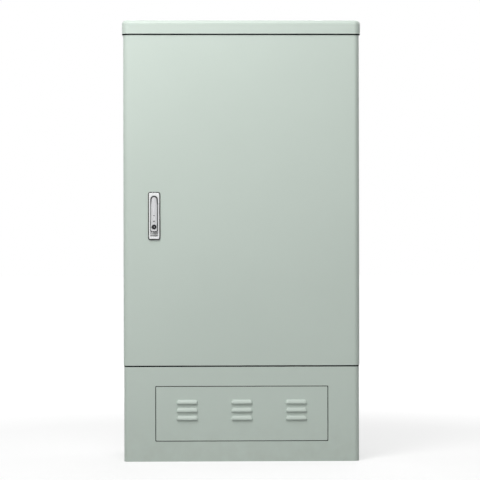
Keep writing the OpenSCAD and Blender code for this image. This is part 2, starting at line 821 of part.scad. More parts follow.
module frame_bolts() color([0.70, 0.70, 0.71]) both_sides() for (z = flange_zs)
    translate([inner_x - frame_flange_t, frame_back_y + frame_flange_d / 2, z]) rotate([0, -90, 0])
        hex_bolt(screw_d, frame_flange_t + panel_t * 0.5, m6_head);

module ceiling_panel() color([0.66, 0.70, 0.67]) difference() {
    translate([0, 0, body_z1]) linear_extrude(ceiling_t) body_plan(half_w, frame_y, back_y, corner_r);
    roof_bolt_places() hole(roof_bolt_d + 2 * bolt_gap, body_z1, ceiling_z);
    bracket_bolt_places() hole(bracket_bolt_d + 2 * bolt_gap, body_z1, ceiling_z);
}

module roof_bolt_places() {
    for (x = [-roof_bolt_x, roof_bolt_x], y = [-roof_bolt_y, roof_bolt_y]) translate([x, y, 0]) children();
}

module roof_cap() color([0.74, 0.79, 0.75]) {
    difference() {
        translate([0, 0, body_z1]) crowned_block(roof_w, roof_d, roof_h, roof_r, roof_edge_r);
        translate([0, 0, body_z1 - overlap]) crowned_block(
            roof_w - 2 * roof_t, roof_d - 2 * roof_t, roof_h - roof_t + overlap,
            roof_r - roof_t, roof_edge_r - roof_t
        );
    }
    roof_bolt_places() difference() {
        translate([0, 0, ceiling_z]) cylinder(h = cabinet_h - roof_t - ceiling_z, d = roof_boss_d);
        hole(roof_bolt_d + 2 * bolt_gap, ceiling_z, ceiling_z + roof_bolt_depth);
    }
}

module roof_bolts() color([0.70, 0.70, 0.71]) roof_bolt_places()
    translate([0, 0, body_z1]) rotate([180, 0, 0])
        hex_bolt(roof_bolt_d, ceiling_t + roof_bolt_depth - overlap, m8_head);

module body_bolts() color([0.70, 0.70, 0.71])
    for (x = [-body_bolt_x, body_bolt_x], y = body_bolt_ys) translate([x, y, floor_z]) {
        hex_bolt(body_bolt_d, floor_t + top_flange_t + m10_head[1], m10_head);
        translate([0, 0, -floor_t - top_flange_t - m10_head[1]])
            cylinder(h = m10_head[1], d = m10_head[0] / cos(30), $fn = 6);
    }

module bracket_bolt_places() {
    for (i = [0, 1])
        translate([bracket_bolt_x, bracket_end_y - bracket_bolt_edge - i * bracket_bolt_pitch, 0]) children();
}

module pivot_bracket_top() color([0.74, 0.75, 0.76]) difference() {
    translate([0, 0, ceiling_z]) linear_extrude(bracket_t) {
        translate([pivot_x - bracket_w / 2, pivot_y]) square([bracket_w, bracket_end_y - pivot_y]);
        translate([pivot_x, pivot_y]) circle(d = bracket_w);
    }
    translate([pivot_x, pivot_y, 0]) hole(pivot_pin_d + 2 * run_fit, ceiling_z, ceiling_z + bracket_t);
    bracket_bolt_places() hole(bracket_bolt_d + 2 * bolt_gap, ceiling_z, ceiling_z + bracket_t);
}

module pivot_pin_top() color([0.80, 0.81, 0.82]) translate([pivot_x, pivot_y, 0]) {
    bottom = door_z1 - pivot_bush_l;
    translate([0, 0, bottom]) cylinder(h = ceiling_z + bracket_t - bottom + overlap, d = pivot_pin_d);
    translate([0, 0, ceiling_z + bracket_t]) cylinder(h = pin_head_h, r = pin_head_r);
}

// Outline of the lower bracket, or of its pocket in the plinth when grown
module sole_outline(grow) {
    r = sole_r + grow;
    translate([pivot_x - sole_l - grow, pivot_y - r]) square([sole_l + grow, 2 * r]);
    translate([pivot_x, pivot_y]) circle(r);
}

module pivot_bracket_bottom() color([0.74, 0.75, 0.76]) difference() {
    translate([0, 0, sole_z]) linear_extrude(sole_t) sole_outline(0);
    translate([pivot_x, pivot_y, 0]) hole(pivot_pin_d + 2 * let_in_gap, sole_z, plinth_h);
    for (x = sole_screw_x) translate([x, pivot_y, sole_z]) {
        hole(sole_screw_d + 2 * bolt_gap, 0, sole_t);
        countersink(bolt_gap);
    }
}

// Cone of a countersunk head, flush with the top of the lower bracket
module countersink(gap) {
    cone_h = sole_t - sole_edge;
    translate([0, 0, sole_t - cone_h])
        cylinder(h = cone_h, r1 = sole_screw_d / 2 + gap, r2 = sole_screw_d / 2 + cone_h + gap);
}

module pivot_bracket_screws() color([0.70, 0.70, 0.71]) {
    bracket_bolt_places() translate([0, 0, ceiling_z + bracket_t]) {
        hex_bolt(bracket_bolt_d, bracket_t + ceiling_t + m8_head[1], m8_head);
        translate([0, 0, -bracket_t - ceiling_t - m8_head[1]])
            cylinder(h = m8_head[1], d = m8_head[0] / cos(30), $fn = 6);
    }
    for (x = sole_screw_x) translate([x, pivot_y, sole_z]) {
        countersink(0);
        translate([0, 0, -top_flange_t]) cylinder(h = top_flange_t + sole_t / 2, d = sole_screw_d);
    }
}

module pivot_pin_bottom() color([0.80, 0.81, 0.82]) translate([pivot_x, pivot_y, sole_z])
    cylinder(h = door_z0 + pivot_bush_l - sole_z, d = pivot_pin_d);

module thrust_washer() color([0.20, 0.20, 0.21]) translate([pivot_x, pivot_y, 0]) difference() {
    translate([0, 0, plinth_h]) cylinder(h = door_gap_bottom - move_gap, r = bush_r);
    hole(pivot_pin_d + 2 * run_fit, plinth_h, door_z0);
}

// Bush in a wall of the door: a spigot through the wall and a long body behind it
module pivot_bush() difference() {
    union() {
        cylinder(h = door_t, r = bush_spigot_r);
        translate([0, 0, door_t]) cylinder(h = pivot_bush_l - door_t, r = bush_r);
    }
    hole(pivot_pin_d + 2 * run_fit, 0, pivot_bush_l);
}

module pivot_bush_top() color([0.20, 0.20, 0.21])
    translate([pivot_x, pivot_y, door_z1]) mirror([0, 0, 1]) pivot_bush();

module pivot_bush_bottom() color([0.20, 0.20, 0.21])
    translate([pivot_x, pivot_y, door_z0]) pivot_bush();

// Plan of the door pan, or of its hollow when inset
module door_plan(inset) {
    hw = half_w - inset;
    r = corner_r - inset;
    y0 = front_y + inset;
    y1 = door_back_y + (inset > 0 ? overlap : 0);
    translate([-hw, y0 + r]) square([2 * hw, y1 - y0 - r]);
    translate([-hw + r, y0]) square([2 * (hw - r), y1 - y0]);
    for (x = [-hw + r, hw - r]) translate([x, y0 + r]) intersection() {
        circle(r);
        translate([-r, -r]) square([2 * r, r]);
    }
}

// Outline of the handle's dish, grown by an amount: round above, square below
module dish_outline(grow, z0) {
    w = dish_w + 2 * grow;
    translate([handle_x, spindle_z]) circle(d = w);
    translate([handle_x - w / 2, z0 - grow]) square([w, spindle_z - z0 + grow]);
}

module door_pan() color([0.74, 0.79, 0.75]) difference() {
    translate([0, 0, door_z0]) linear_extrude(door_z1 - door_z0) door_plan(0);
    translate([0, 0, door_z0 + door_t]) linear_extrude(door_z1 - door_z0 - 2 * door_t) door_plan(door_t);
    upright_sheet(front_y - overlap, skin_y + overlap) dish_outline(tub_t + let_in_gap, dish_z0);
    translate([pivot_x, pivot_y, 0]) hole(2 * (bush_spigot_r + let_in_gap), door_z0, door_z1);
}

module door_seal() color([0.13, 0.13, 0.13]) upright_sheet(skin_y, skin_y + seal_t) difference() {
    opening_shape((seal_w + lip_t) / 2);
    opening_shape(-(seal_w - lip_t) / 2);
}

module door_stiffeners() color([0.72, 0.73, 0.74]) {
    x0 = handle_x + case_half_w + clamp_edge;
    x1 = opening[2] - seal_w;
    for (z = spread(door_z0, door_z1, 4)) if (z > door_z0 && z < door_z1)
        translate([x0, skin_y, z]) rotate([90, 0, 90]) linear_extrude(x1 - x0) difference() {
            union() {
                translate([0, -stiffener_w / 2]) square([steel_t, stiffener_w]);
                translate([0, -stiffener_w / 4]) square([stiffener_d, stiffener_w / 2]);
            }
            translate([-overlap, -stiffener_w / 4 + steel_t])
                square([stiffener_d - steel_t + overlap, stiffener_w / 2 - 2 * steel_t]);
        }
}

module document_pocket() color([0.78, 0.79, 0.78])
translate([pocket_x, skin_y, pocket_z]) difference() {
    block([-pocket_w / 2, 0, 0], [pocket_w / 2, pocket_d, pocket_h]);
    block([-pocket_w / 2 + pocket_t, pocket_t, pocket_t],
          [pocket_w / 2 - pocket_t, pocket_d - pocket_t, pocket_h + overlap]);
    translate([0, pocket_d + overlap, pocket_h]) to_front()
        cylinder(h = pocket_t + 2 * overlap, d = pocket_w / 4);
}

module handle_bezel() color([0.80, 0.81, 0.82]) difference() {
    union() {
        upright_sheet(rim_y, front_y)
            rounded_rect(handle_x - bezel_w / 2, bezel_z0, handle_x + bezel_w / 2, bezel_z1, bezel_r);
        upright_sheet(front_y, tub_y) dish_outline(tub_t, dish_z0);
    }
    upright_sheet(rim_y - overlap, dish_y) dish_outline(0, scoop_z);
    translate([handle_x - dish_w / 2, 0, 0]) rotate([90, 0, 90]) linear_extrude(dish_w)
        polygon([
            [dish_y, scoop_z + overlap], [dish_y, scoop_z], [front_y, dish_z0],
            [rim_y - overlap, dish_z0], [rim_y - overlap, scoop_z + overlap]
        ]);
    translate([handle_x, 0, spindle_z]) to_back() hole(spindle_d + 2 * run_fit, dish_y, tub_y);
}

module bezel_clamp() color([0.72, 0.73, 0.74]) difference() {
    upright_sheet(skin_y, clamp_y) difference() {
        translate([handle_x - case_half_w, bezel_z0 - clamp_edge])
            square([2 * case_half_w, spindle_z + case_half_h - bezel_z0 + clamp_edge]);
        dish_outline(tub_t + let_in_gap, dish_z0);
    }
    case_screw_places() hole(case_screw_d + 2 * bolt_gap, skin_y, clamp_y);
}

module case_screw_places() {
    for (x = [-case_screw_x, case_screw_x], z = [-case_screw_z, case_screw_z])
        translate([handle_x + x, 0, spindle_z + z]) to_back() children();
}

module lock_case() color([0.62, 0.63, 0.64]) difference() {
    case_z0 = spindle_z - case_half_h;
    case_z1 = spindle_z + case_half_h;
    union() {
        block([handle_x - case_half_w, tub_y, case_z0], [handle_x + case_half_w, cover_y0, case_z1]);
        for (side = [-1, 1]) block(
            [handle_x + side * case_screw_x - case_wall / 2, clamp_y, case_z0],
            [handle_x + side * case_screw_x + case_wall / 2, tub_y + overlap, case_z1]
        );
    }
    block([handle_x - channel_half_w, rack_y0 - move_gap, case_z0 - overlap],
          [handle_x + channel_half_w, cover_y0 + overlap, case_z1 + overlap]);
    translate([handle_x, 0, spindle_z]) to_back() hole(spindle_d + 2 * run_fit, tub_y, rack_y0);
    case_screw_places() hole(case_screw_d + 2 * bolt_gap, clamp_y, cover_y0);
}

module lock_cover() color([0.72, 0.73, 0.74]) difference() {
    block([handle_x - case_half_w, cover_y0, spindle_z - case_half_h],
          [handle_x + case_half_w, cover_y1, spindle_z + case_half_h]);
    translate([handle_x, 0, spindle_z]) to_back()
        hole(spindle_square * sqrt(2) + 2 * move_gap, cover_y0, cover_y1);
    case_screw_places() hole(case_screw_d + 2 * bolt_gap, cover_y0, cover_y1);
}

module lock_case_screws() color([0.70, 0.70, 0.71]) case_screw_places()
    translate([0, 0, cover_y1]) button_screw(case_screw_d, cover_y1 - skin_y, m4_head);

// Nylon stand that carries a rod at its height above the door's skin
module rod_guide(x, z) translate([x, skin_y, z - guide_l / 2]) difference() {
    reach = guide_back_y - skin_y;
    linear_extrude(guide_l) {
        translate([-guide_foot_w / 2, 0]) square([guide_foot_w, guide_foot_t]);
        translate([-guide_head_w / 2, 0]) square([guide_head_w, reach]);
    }
    translate([0, rod_y - skin_y, 0]) hole(rod_d + 2 * slide_fit, 0, guide_l);
}

module rod_guides() color([0.16, 0.16, 0.17]) {
    for (z = guide_zs_up) rod_guide(handle_x - rod_offset, z);
    for (z = guide_zs_down) rod_guide(handle_x + rod_offset, z);
}

module handle_spindle() color([0.70, 0.71, 0.72]) translate([handle_x, 0, spindle_z]) difference() {
    union() {
        translate([0, dish_y - move_gap - collar_t, 0]) to_back() cylinder(h = collar_t, r = collar_r);
        translate([0, dish_y - move_gap - overlap, 0]) to_back()
            cylinder(h = rack_y0 - dish_y + move_gap + overlap, d = spindle_d);
        translate([-spindle_square / 2, rack_y0 - overlap, -spindle_square / 2])
            cube([spindle_square, spindle_end_y - rack_y0 + overlap, spindle_square]);
        translate([-tongue_w / 2, cross_pin_y, -tongue_r])
            cube([tongue_w, dish_y - move_gap - collar_t - cross_pin_y + overlap, 2 * tongue_r]);
        translate([-tongue_w / 2, cross_pin_y, 0]) to_right() cylinder(h = tongue_w, r = tongue_r);
    }
    translate([-tongue_w / 2, cross_pin_y, 0]) to_right() hole(cross_pin_d + 2 * run_fit, 0, tongue_w);
    translate([0, spindle_end_y, 0]) to_front() hole(spindle_bolt_d + 2 * let_in_gap, 0, spindle_bolt_l);
}

module lever_cross_pin() color([0.70, 0.71, 0.72])
    translate([handle_x - cross_pin_l / 2, cross_pin_y, spindle_z]) to_right()
        cylinder(h = cross_pin_l, d = cross_pin_d);

// Involute pinion: half the angle that a tooth fills at a radius
base_r = pitch_r * cos(pressure_angle);
function involute(r) = let (a = acos(min(1, base_r / r))) tan(a) * 180 / PI - a;
function tooth_half(r) =
    90 / gear_teeth - gear_play / pitch_r * 45 / PI + involute(pitch_r) - involute(max(r, base_r));
tooth_rs = concat(
    [pitch_r - rack_dedendum],
    spread(base_r, pitch_r + rack_addendum, flank_points)
);
function tooth(a) = concat(
    [for (r = tooth_rs) r * [cos(a - tooth_half(r)), sin(a - tooth_half(r))]],
    [for (i = [len(tooth_rs) - 1 : -1 : 0]) let (r = tooth_rs[i])
        r * [cos(a + tooth_half(r)), sin(a + tooth_half(r))]]
);

module lock_pinion() color([0.66, 0.67, 0.68]) translate([handle_x, 0, spindle_z])
    upright_sheet(rack_y0, rack_y1) difference() {
        polygon([for (k = [0 : gear_teeth - 1]) each tooth(180 + k * 360 / gear_teeth)]);
        square(spindle_square + 2 * let_in_gap, center = true);
    }

module spindle_bolt() color([0.74, 0.75, 0.76]) translate([handle_x, spindle_end_y, spindle_z]) to_back() {
    cylinder(h = washer_t, d = spindle_square * 2);
    translate([0, 0, washer_t]) hex_bolt(spindle_bolt_d, washer_t + spindle_bolt_l, m5_head);
}

// Rod with its rack, along +Z from the pinion: teeth face +X, shift sets the tooth phase
module lock_rod(length, shift) {
    root = rack_dedendum;
    half = rack_pitch / 4 - gear_play / 2;
    slope = tan(pressure_angle);
    tip = half - rack_addendum * slope;
    foot = half + root * slope;
    teeth = floor((rod_travel + 2 * rack_reach) / rack_pitch);
    start = -rack_reach;
    upright_sheet(-rack_bar / 2, rack_bar / 2) {
        translate([-root - rack_bar, start]) square([rack_bar, (teeth + 1) * rack_pitch]);
        for (i = [0 : teeth - 1]) translate([0, start + (i + shift) * rack_pitch])
            polygon([[-root - overlap, -foot], [-root, -foot], [rack_addendum, -tip],
                     [rack_addendum, tip], [-root, foot], [-root - overlap, foot]]);
    }
    translate([-root - rack_bar / 2, 0, start + teeth * rack_pitch])
        cylinder(h = length - start - teeth * rack_pitch, d = rod_d);
}

module lock_rod_upper() color([0.74, 0.75, 0.76]) translate([handle_x - pitch_r, rod_y, spindle_z])
    lock_rod(opening[3] - rod_short - spindle_z, 0.5);

module lock_rod_lower() color([0.74, 0.75, 0.76]) translate([handle_x + pitch_r, rod_y, spindle_z])
    rotate([0, 180, 0]) lock_rod(spindle_z - opening[1] - rod_short, 1);

module strike_plates() color([0.74, 0.75, 0.76]) {
    for (p = [[-rod_offset, opening[3]], [rod_offset, opening[1] - strike_h]])
        block([handle_x + p[0] - strike_w / 2, frame_back_y, p[1]],
              [handle_x + p[0] + strike_w / 2, frame_back_y + strike_t, p[1] + strike_h]);
}

// Front outline of the lever: round at the pivot, tapering out to its full width
function arc(x, y, r, a0, a1) = [for (a = spread(a0, a1, arc_points)) [x + r * cos(a), y + r * sin(a)]];

module lever_outline() {
    w = lever_w / 2;
    r = lever_end_r;
    translate([handle_x, spindle_z]) polygon(concat(
        arc(0, 0, lever_head_w / 2, 0, 180),
        [[-w, -lever_taper]],
        arc(r - w, r - lever_l, r, 180, 270),
        arc(w - r, r - lever_l, r, 270, 360),
        [[w, -lever_taper]]
    ));
}

// Outline of the oval plate, or of its recess when grown
module plate_outline(grow) {
    r = plate_w / 2 + grow;
    z = spindle_z - plate_drop;
    half = (plate_l - plate_w) / 2;
    translate([handle_x - r, z - half]) square([2 * r, 2 * half]);
    for (end = [-half, half]) translate([handle_x, z + end]) circle(r);
}

// Side view of the lever's slot for the tongue, which leans upwards when the lever is lifted
module tongue_slot() {
    r = tongue_r + move_gap;
    polygon(concat(
        [[lever_t, -r]],
        arc(0, 0, r, 270, 90 + lift_angle),
        [[lever_t, r / cos(lift_angle) + lever_t * tan(lift_angle)]]
    ));
}

module handle_lever() color([0.78, 0.79, 0.80]) difference() {
    intersection() {
        upright_sheet(lever_front_y, lever_back_y) lever_outline();
        translate([handle_x, lever_front_y + lever_crown_r, scoop_z - overlap])
            cylinder(h = lever_l + lever_w, r = lever_crown_r, $fn = 96);
    }
    translate([handle_x - tongue_w / 2 - move_gap, cross_pin_y, spindle_z]) rotate([90, 0, 90])
        linear_extrude(tongue_w + 2 * move_gap) tongue_slot();
    translate([handle_x - cross_pin_l / 2, cross_pin_y, spindle_z]) to_right()
        cylinder(h = cross_pin_l, d = cross_pin_d + 2 * let_in_gap);
    translate([handle_x, 0, spindle_z - barrel_drop]) to_back()
        hole(barrel_d + 2 * let_in_gap, lever_front_y, lever_back_y);
    upright_sheet(lever_front_y - overlap, lever_front_y + plate_t) plate_outline(let_in_gap);
}

module lever_plate() color([0.72, 0.73, 0.74]) difference() {
    upright_sheet(lever_front_y - plate_proud, lever_front_y + plate_t) plate_outline(0);
    for (end = [-plate_hole_pitch, plate_hole_pitch])
        translate([handle_x, lever_front_y - plate_proud, spindle_z - plate_drop + end / 2])
            to_back() hole(2 * plate_hole_r, 0, plate_t / 2);
}

module lock_barrel() color([0.08, 0.08, 0.09])
translate([handle_x, 0, spindle_z - barrel_drop]) difference() {
    translate([0, lever_front_y - plate_proud, 0]) to_back()
        cylinder(h = lever_back_y - lever_front_y + plate_proud, d = barrel_d);
    to_back() hole(plug_d + 2 * run_fit, lever_front_y - plate_proud, lever_back_y);
}

module key_plug() color([0.10, 0.10, 0.11]) translate([handle_x, 0, spindle_z - barrel_drop]) difference() {
    translate([0, lever_front_y, 0]) to_back() cylinder(h = lever_t, d = plug_d);
    block([-key_slot_w / 2, lever_front_y - overlap, -key_slot_l / 2],
          [key_slot_w / 2, lever_front_y + key_slot_d, key_slot_l / 2]);
}

// Folded upright with two feet against the back panel
module upright() translate([0, 0, floor_z]) linear_extrude(upright_z1 - floor_z) {
    translate([upright_x - upright_w / 2, upright_y]) square([upright_w, steel_t]);
    for (x = [upright_x - upright_w / 2, upright_x + upright_w / 2 - steel_t])
        translate([x, upright_y]) square([steel_t, upright_d]);
    translate([upright_x - upright_w / 2 - upright_foot_w, inner_back_y - steel_t])
        square([upright_foot_w + steel_t, steel_t]);
    translate([upright_x + upright_w / 2 - steel_t, inner_back_y - steel_t])
        square([upright_foot_w + steel_t, steel_t]);
}

module upright_bolt_places() {
    x = upright_x - upright_w / 2 - upright_foot_w / 2;
    for (z = upright_zs) translate([x, back_y, z]) to_back() children();
}

module drilled_upright() difference() {
    upright();
    upright_bolt_places() hole(screw_d + 2 * bolt_gap, -panel_t - steel_t, 0);
    for (z = rail_zs) translate([upright_x, upright_y, z]) to_back() hole(screw_d + 2 * bolt_gap, 0, steel_t);
}

module upright_left() color([0.74, 0.75, 0.76]) mirror([1, 0, 0]) drilled_upright();
module upright_right() color([0.74, 0.75, 0.76]) drilled_upright();

module cross_rails() color([0.74, 0.75, 0.76]) for (z = rail_zs) difference() {
    translate([-rail_l / 2, upright_y, z - rail_h / 2]) rotate([90, 0, 90]) linear_extrude(rail_l) {
        translate([-steel_t, 0]) square([steel_t, rail_h]);
        for (v = [0, rail_h - steel_t]) translate([-rail_d, v]) square([rail_d, steel_t]);
        for (v = [0, rail_h - rail_lip]) translate([-rail_d, v]) square([steel_t, rail_lip]);
    }
    both_sides() translate([upright_x, upright_y, z]) to_front() hole(screw_d + 2 * bolt_gap, 0, steel_t);
}

module rail_bolts() color([0.70, 0.70, 0.71]) for (z = rail_zs) both_sides()
    translate([upright_x, upright_y - steel_t, z]) to_front() hex_bolt(screw_d, 2 * steel_t, m6_head);

// Folded tray that carries a column of modules
module module_frame(x) translate([x, stack_y, stack_z0]) linear_extrude(stack_h) {
    translate([-stack_w / 2, 0]) square([stack_w, steel_t]);
    for (side = [-stack_w / 2, stack_w / 2 - steel_t])
        translate([side, -stack_wall]) square([steel_t, stack_wall + steel_t]);
}

module module_frame_left() color([0.74, 0.75, 0.76]) module_frame(-stack_x);
module module_frame_right() color([0.74, 0.75, 0.76]) module_frame(stack_x);

// Connection module with two rows of wire slots
module connection_module() difference() {
    block([-module_w / 2, -module_d, 0], [module_w / 2, 0, module_h]);
    for (v = module_slot_rows)
        translate([-module_w / 2 + module_slot_edge, -module_d - overlap, module_h * v])
            cube([module_w - 2 * module_slot_edge, module_slot_d + overlap, module_h * module_slot_share]);
}

module module_column(x) for (i = [0 : module_count - 1])
    translate([x, stack_y, stack_z0 + stack_edge + (i + 0.5) * module_pitch - module_h / 2])
        connection_module();

module modules_left() color([0.88, 0.88, 0.85]) module_column(-stack_x);
module modules_right() color([0.88, 0.88, 0.85]) module_column(stack_x);

module cable_clamps() color([0.17, 0.17, 0.18]) for (x = entry_xs)
    translate([x, rail_y, rail_zs[0]]) difference() {
        block([-clamp_block_w / 2, -clamp_block_d, -clamp_block_h / 2],
              [clamp_block_w / 2, 0, clamp_block_h / 2]);
        translate([0, -clamp_block_d / 2, 0]) hole(2 * clamp_bore_r, -clamp_block_h / 2, clamp_block_h / 2);
    }

module earth_insulators() color([0.55, 0.16, 0.12]) both_sides()
    translate([upright_x, upright_y, earth_bar_z]) to_front() cylinder(h = insulator_h, r = insulator_r);

module earth_bar() color([0.75, 0.48, 0.28]) difference() {
    block([-earth_l / 2, earth_y0, earth_bar_z - earth_h / 2],
          [earth_l / 2, earth_y1, earth_bar_z + earth_h / 2]);
    for (x = earth_xs) translate([x, earth_y0, earth_bar_z]) to_back()
        hole(earth_bolt_d + 2 * bolt_gap, 0, earth_t);
}

module earth_bar_screws() color([0.74, 0.75, 0.76]) for (x = earth_xs)
    translate([x, earth_y0, earth_bar_z]) to_front()
        hex_bolt(earth_bolt_d, earth_t + earth_screw_tail, m6_head);

plinth();
access_panel();
turn_button_left();
turn_button_right();
turn_button_nuts();
floor_panel();
gland_plate();
gland_plate_screws();
cable_grommets();
side_panel_left();
side_panel_right();
back_panel();
back_panel_screws();
door_frame();
frame_bolts();
ceiling_panel();
roof_cap();
roof_bolts();
body_bolts();
pivot_bracket_top();
pivot_bracket_bottom();
pivot_bracket_screws();
pivot_pin_top();
pivot_pin_bottom();
thrust_washer();
strike_plates();
upright_left();
upright_right();
cross_rails();
rail_bolts();
module_frame_left();
module_frame_right();
modules_left();
modules_right();
cable_clamps();
earth_bar();
earth_insulators();
earth_bar_screws();
door_pan();
door_seal();
door_stiffeners();
document_pocket();
pivot_bush_top();
pivot_bush_bottom();
handle_bezel();
bezel_clamp();
lock_case();
lock_cover();
lock_case_screws();
rod_guides();
handle_spindle();
lever_cross_pin();
lock_pinion();
spindle_bolt();
handle_lever();
lever_plate();
lock_barrel();
key_plug();
lock_rod_upper();
lock_rod_lower();
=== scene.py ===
"""Looks of the roadside utility cabinet: finishes, fine pieces, studio and camera."""

import json
import logging
import math
from abc import ABC, abstractmethod
from dataclasses import dataclass, field
from enum import Enum
from typing import Iterable, Iterator, Sequence

import bmesh
import bpy
from mathutils import Matrix, Vector


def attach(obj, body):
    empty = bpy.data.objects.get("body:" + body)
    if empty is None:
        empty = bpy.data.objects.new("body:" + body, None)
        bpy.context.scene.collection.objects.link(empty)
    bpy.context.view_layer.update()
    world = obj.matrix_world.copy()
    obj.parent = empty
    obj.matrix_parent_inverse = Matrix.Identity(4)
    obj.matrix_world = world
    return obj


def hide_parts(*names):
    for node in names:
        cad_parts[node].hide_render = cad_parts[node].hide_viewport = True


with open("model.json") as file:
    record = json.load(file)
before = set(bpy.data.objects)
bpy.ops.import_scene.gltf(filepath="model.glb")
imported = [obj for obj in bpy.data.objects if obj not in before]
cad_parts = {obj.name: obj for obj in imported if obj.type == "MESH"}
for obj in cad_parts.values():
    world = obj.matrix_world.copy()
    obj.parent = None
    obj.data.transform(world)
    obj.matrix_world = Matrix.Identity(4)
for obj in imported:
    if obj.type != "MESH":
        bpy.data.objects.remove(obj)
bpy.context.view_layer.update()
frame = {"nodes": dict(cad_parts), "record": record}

LOG = logging.getLogger("cabinet")
MM = 0.001

Colour = tuple[float, float, float]
Pair = tuple[float, float]
Triple = tuple[float, float, float]
Profile = tuple[Pair, ...]
Widths = dict[str, float]
Socket = bpy.types.NodeSocket
Piece = bpy.types.Object
Value = float | Triple | Socket

WHITE: Colour = (1.0, 1.0, 1.0)
FORWARD: Triple = (0.0, -1.0, 0.0)
BACKWARD: Triple = (0.0, 1.0, 0.0)
UPWARD: Triple = (0.0, 0.0, 1.0)

FULL_RANGE: Pair = (0.0, 1.0)
# Range that most values of a noise field lie in.
NOISE_RANGE: Pair = (0.3, 0.7)

# Places of the colour sockets on a mix node, which has a set for each type of data.
MIX_COLOURS = (6, 7)
MIX_RESULT = 2

# Sides of the four cables, from the entries up to the clamps, in millimetres.
CABLE_X = (-150.0, -50.0, 50.0, 150.0)

# Rounding of the edges of carried-over meshes, in millimetres and degrees.
WELD_WITHIN = 0.004
FLAT_BELOW = 0.4
EDGE_ABOVE = 32.0
EDGE_SEGMENTS = 3


class Slot(Enum):
    """Material slots of the record."""

    MOULDED_PANEL = "moulded_panel"
    MOULDED_INNER = "moulded_inner"
    GALVANISED_SHEET = "galvanised_sheet"
    ZINC_FASTENER = "zinc_fastener"
    BRIGHT_STEEL = "bright_steel"
    ZINC_CASTING = "zinc_casting"
    CHROME_BEZEL = "chrome_bezel"
    SATIN_LEVER = "satin_lever"
    BLACK_LOCK = "black_lock"
    BLACK_NYLON = "black_nylon"
    SEAL_RUBBER = "seal_rubber"
    MODULE_PLASTIC = "module_plastic"
    POCKET_PLASTIC = "pocket_plastic"
    COPPER_BAR = "copper_bar"
    RED_INSULATOR = "red_insulator"


class Body(Enum):
    """Bodies that carry pieces of the scene."""

    CABINET = "cabinet"
    DOOR = "door"
    SPINDLE = "spindle"
    LEVER = "lever"
    PLUG = "plug"


@dataclass(frozen=True)
class Grain:
    """A noise field: grains in a metre, finer layers, and a factor along each axis."""

    scale: float
    detail: float = 2.0
    stretch: Triple = (1.0, 1.0, 1.0)


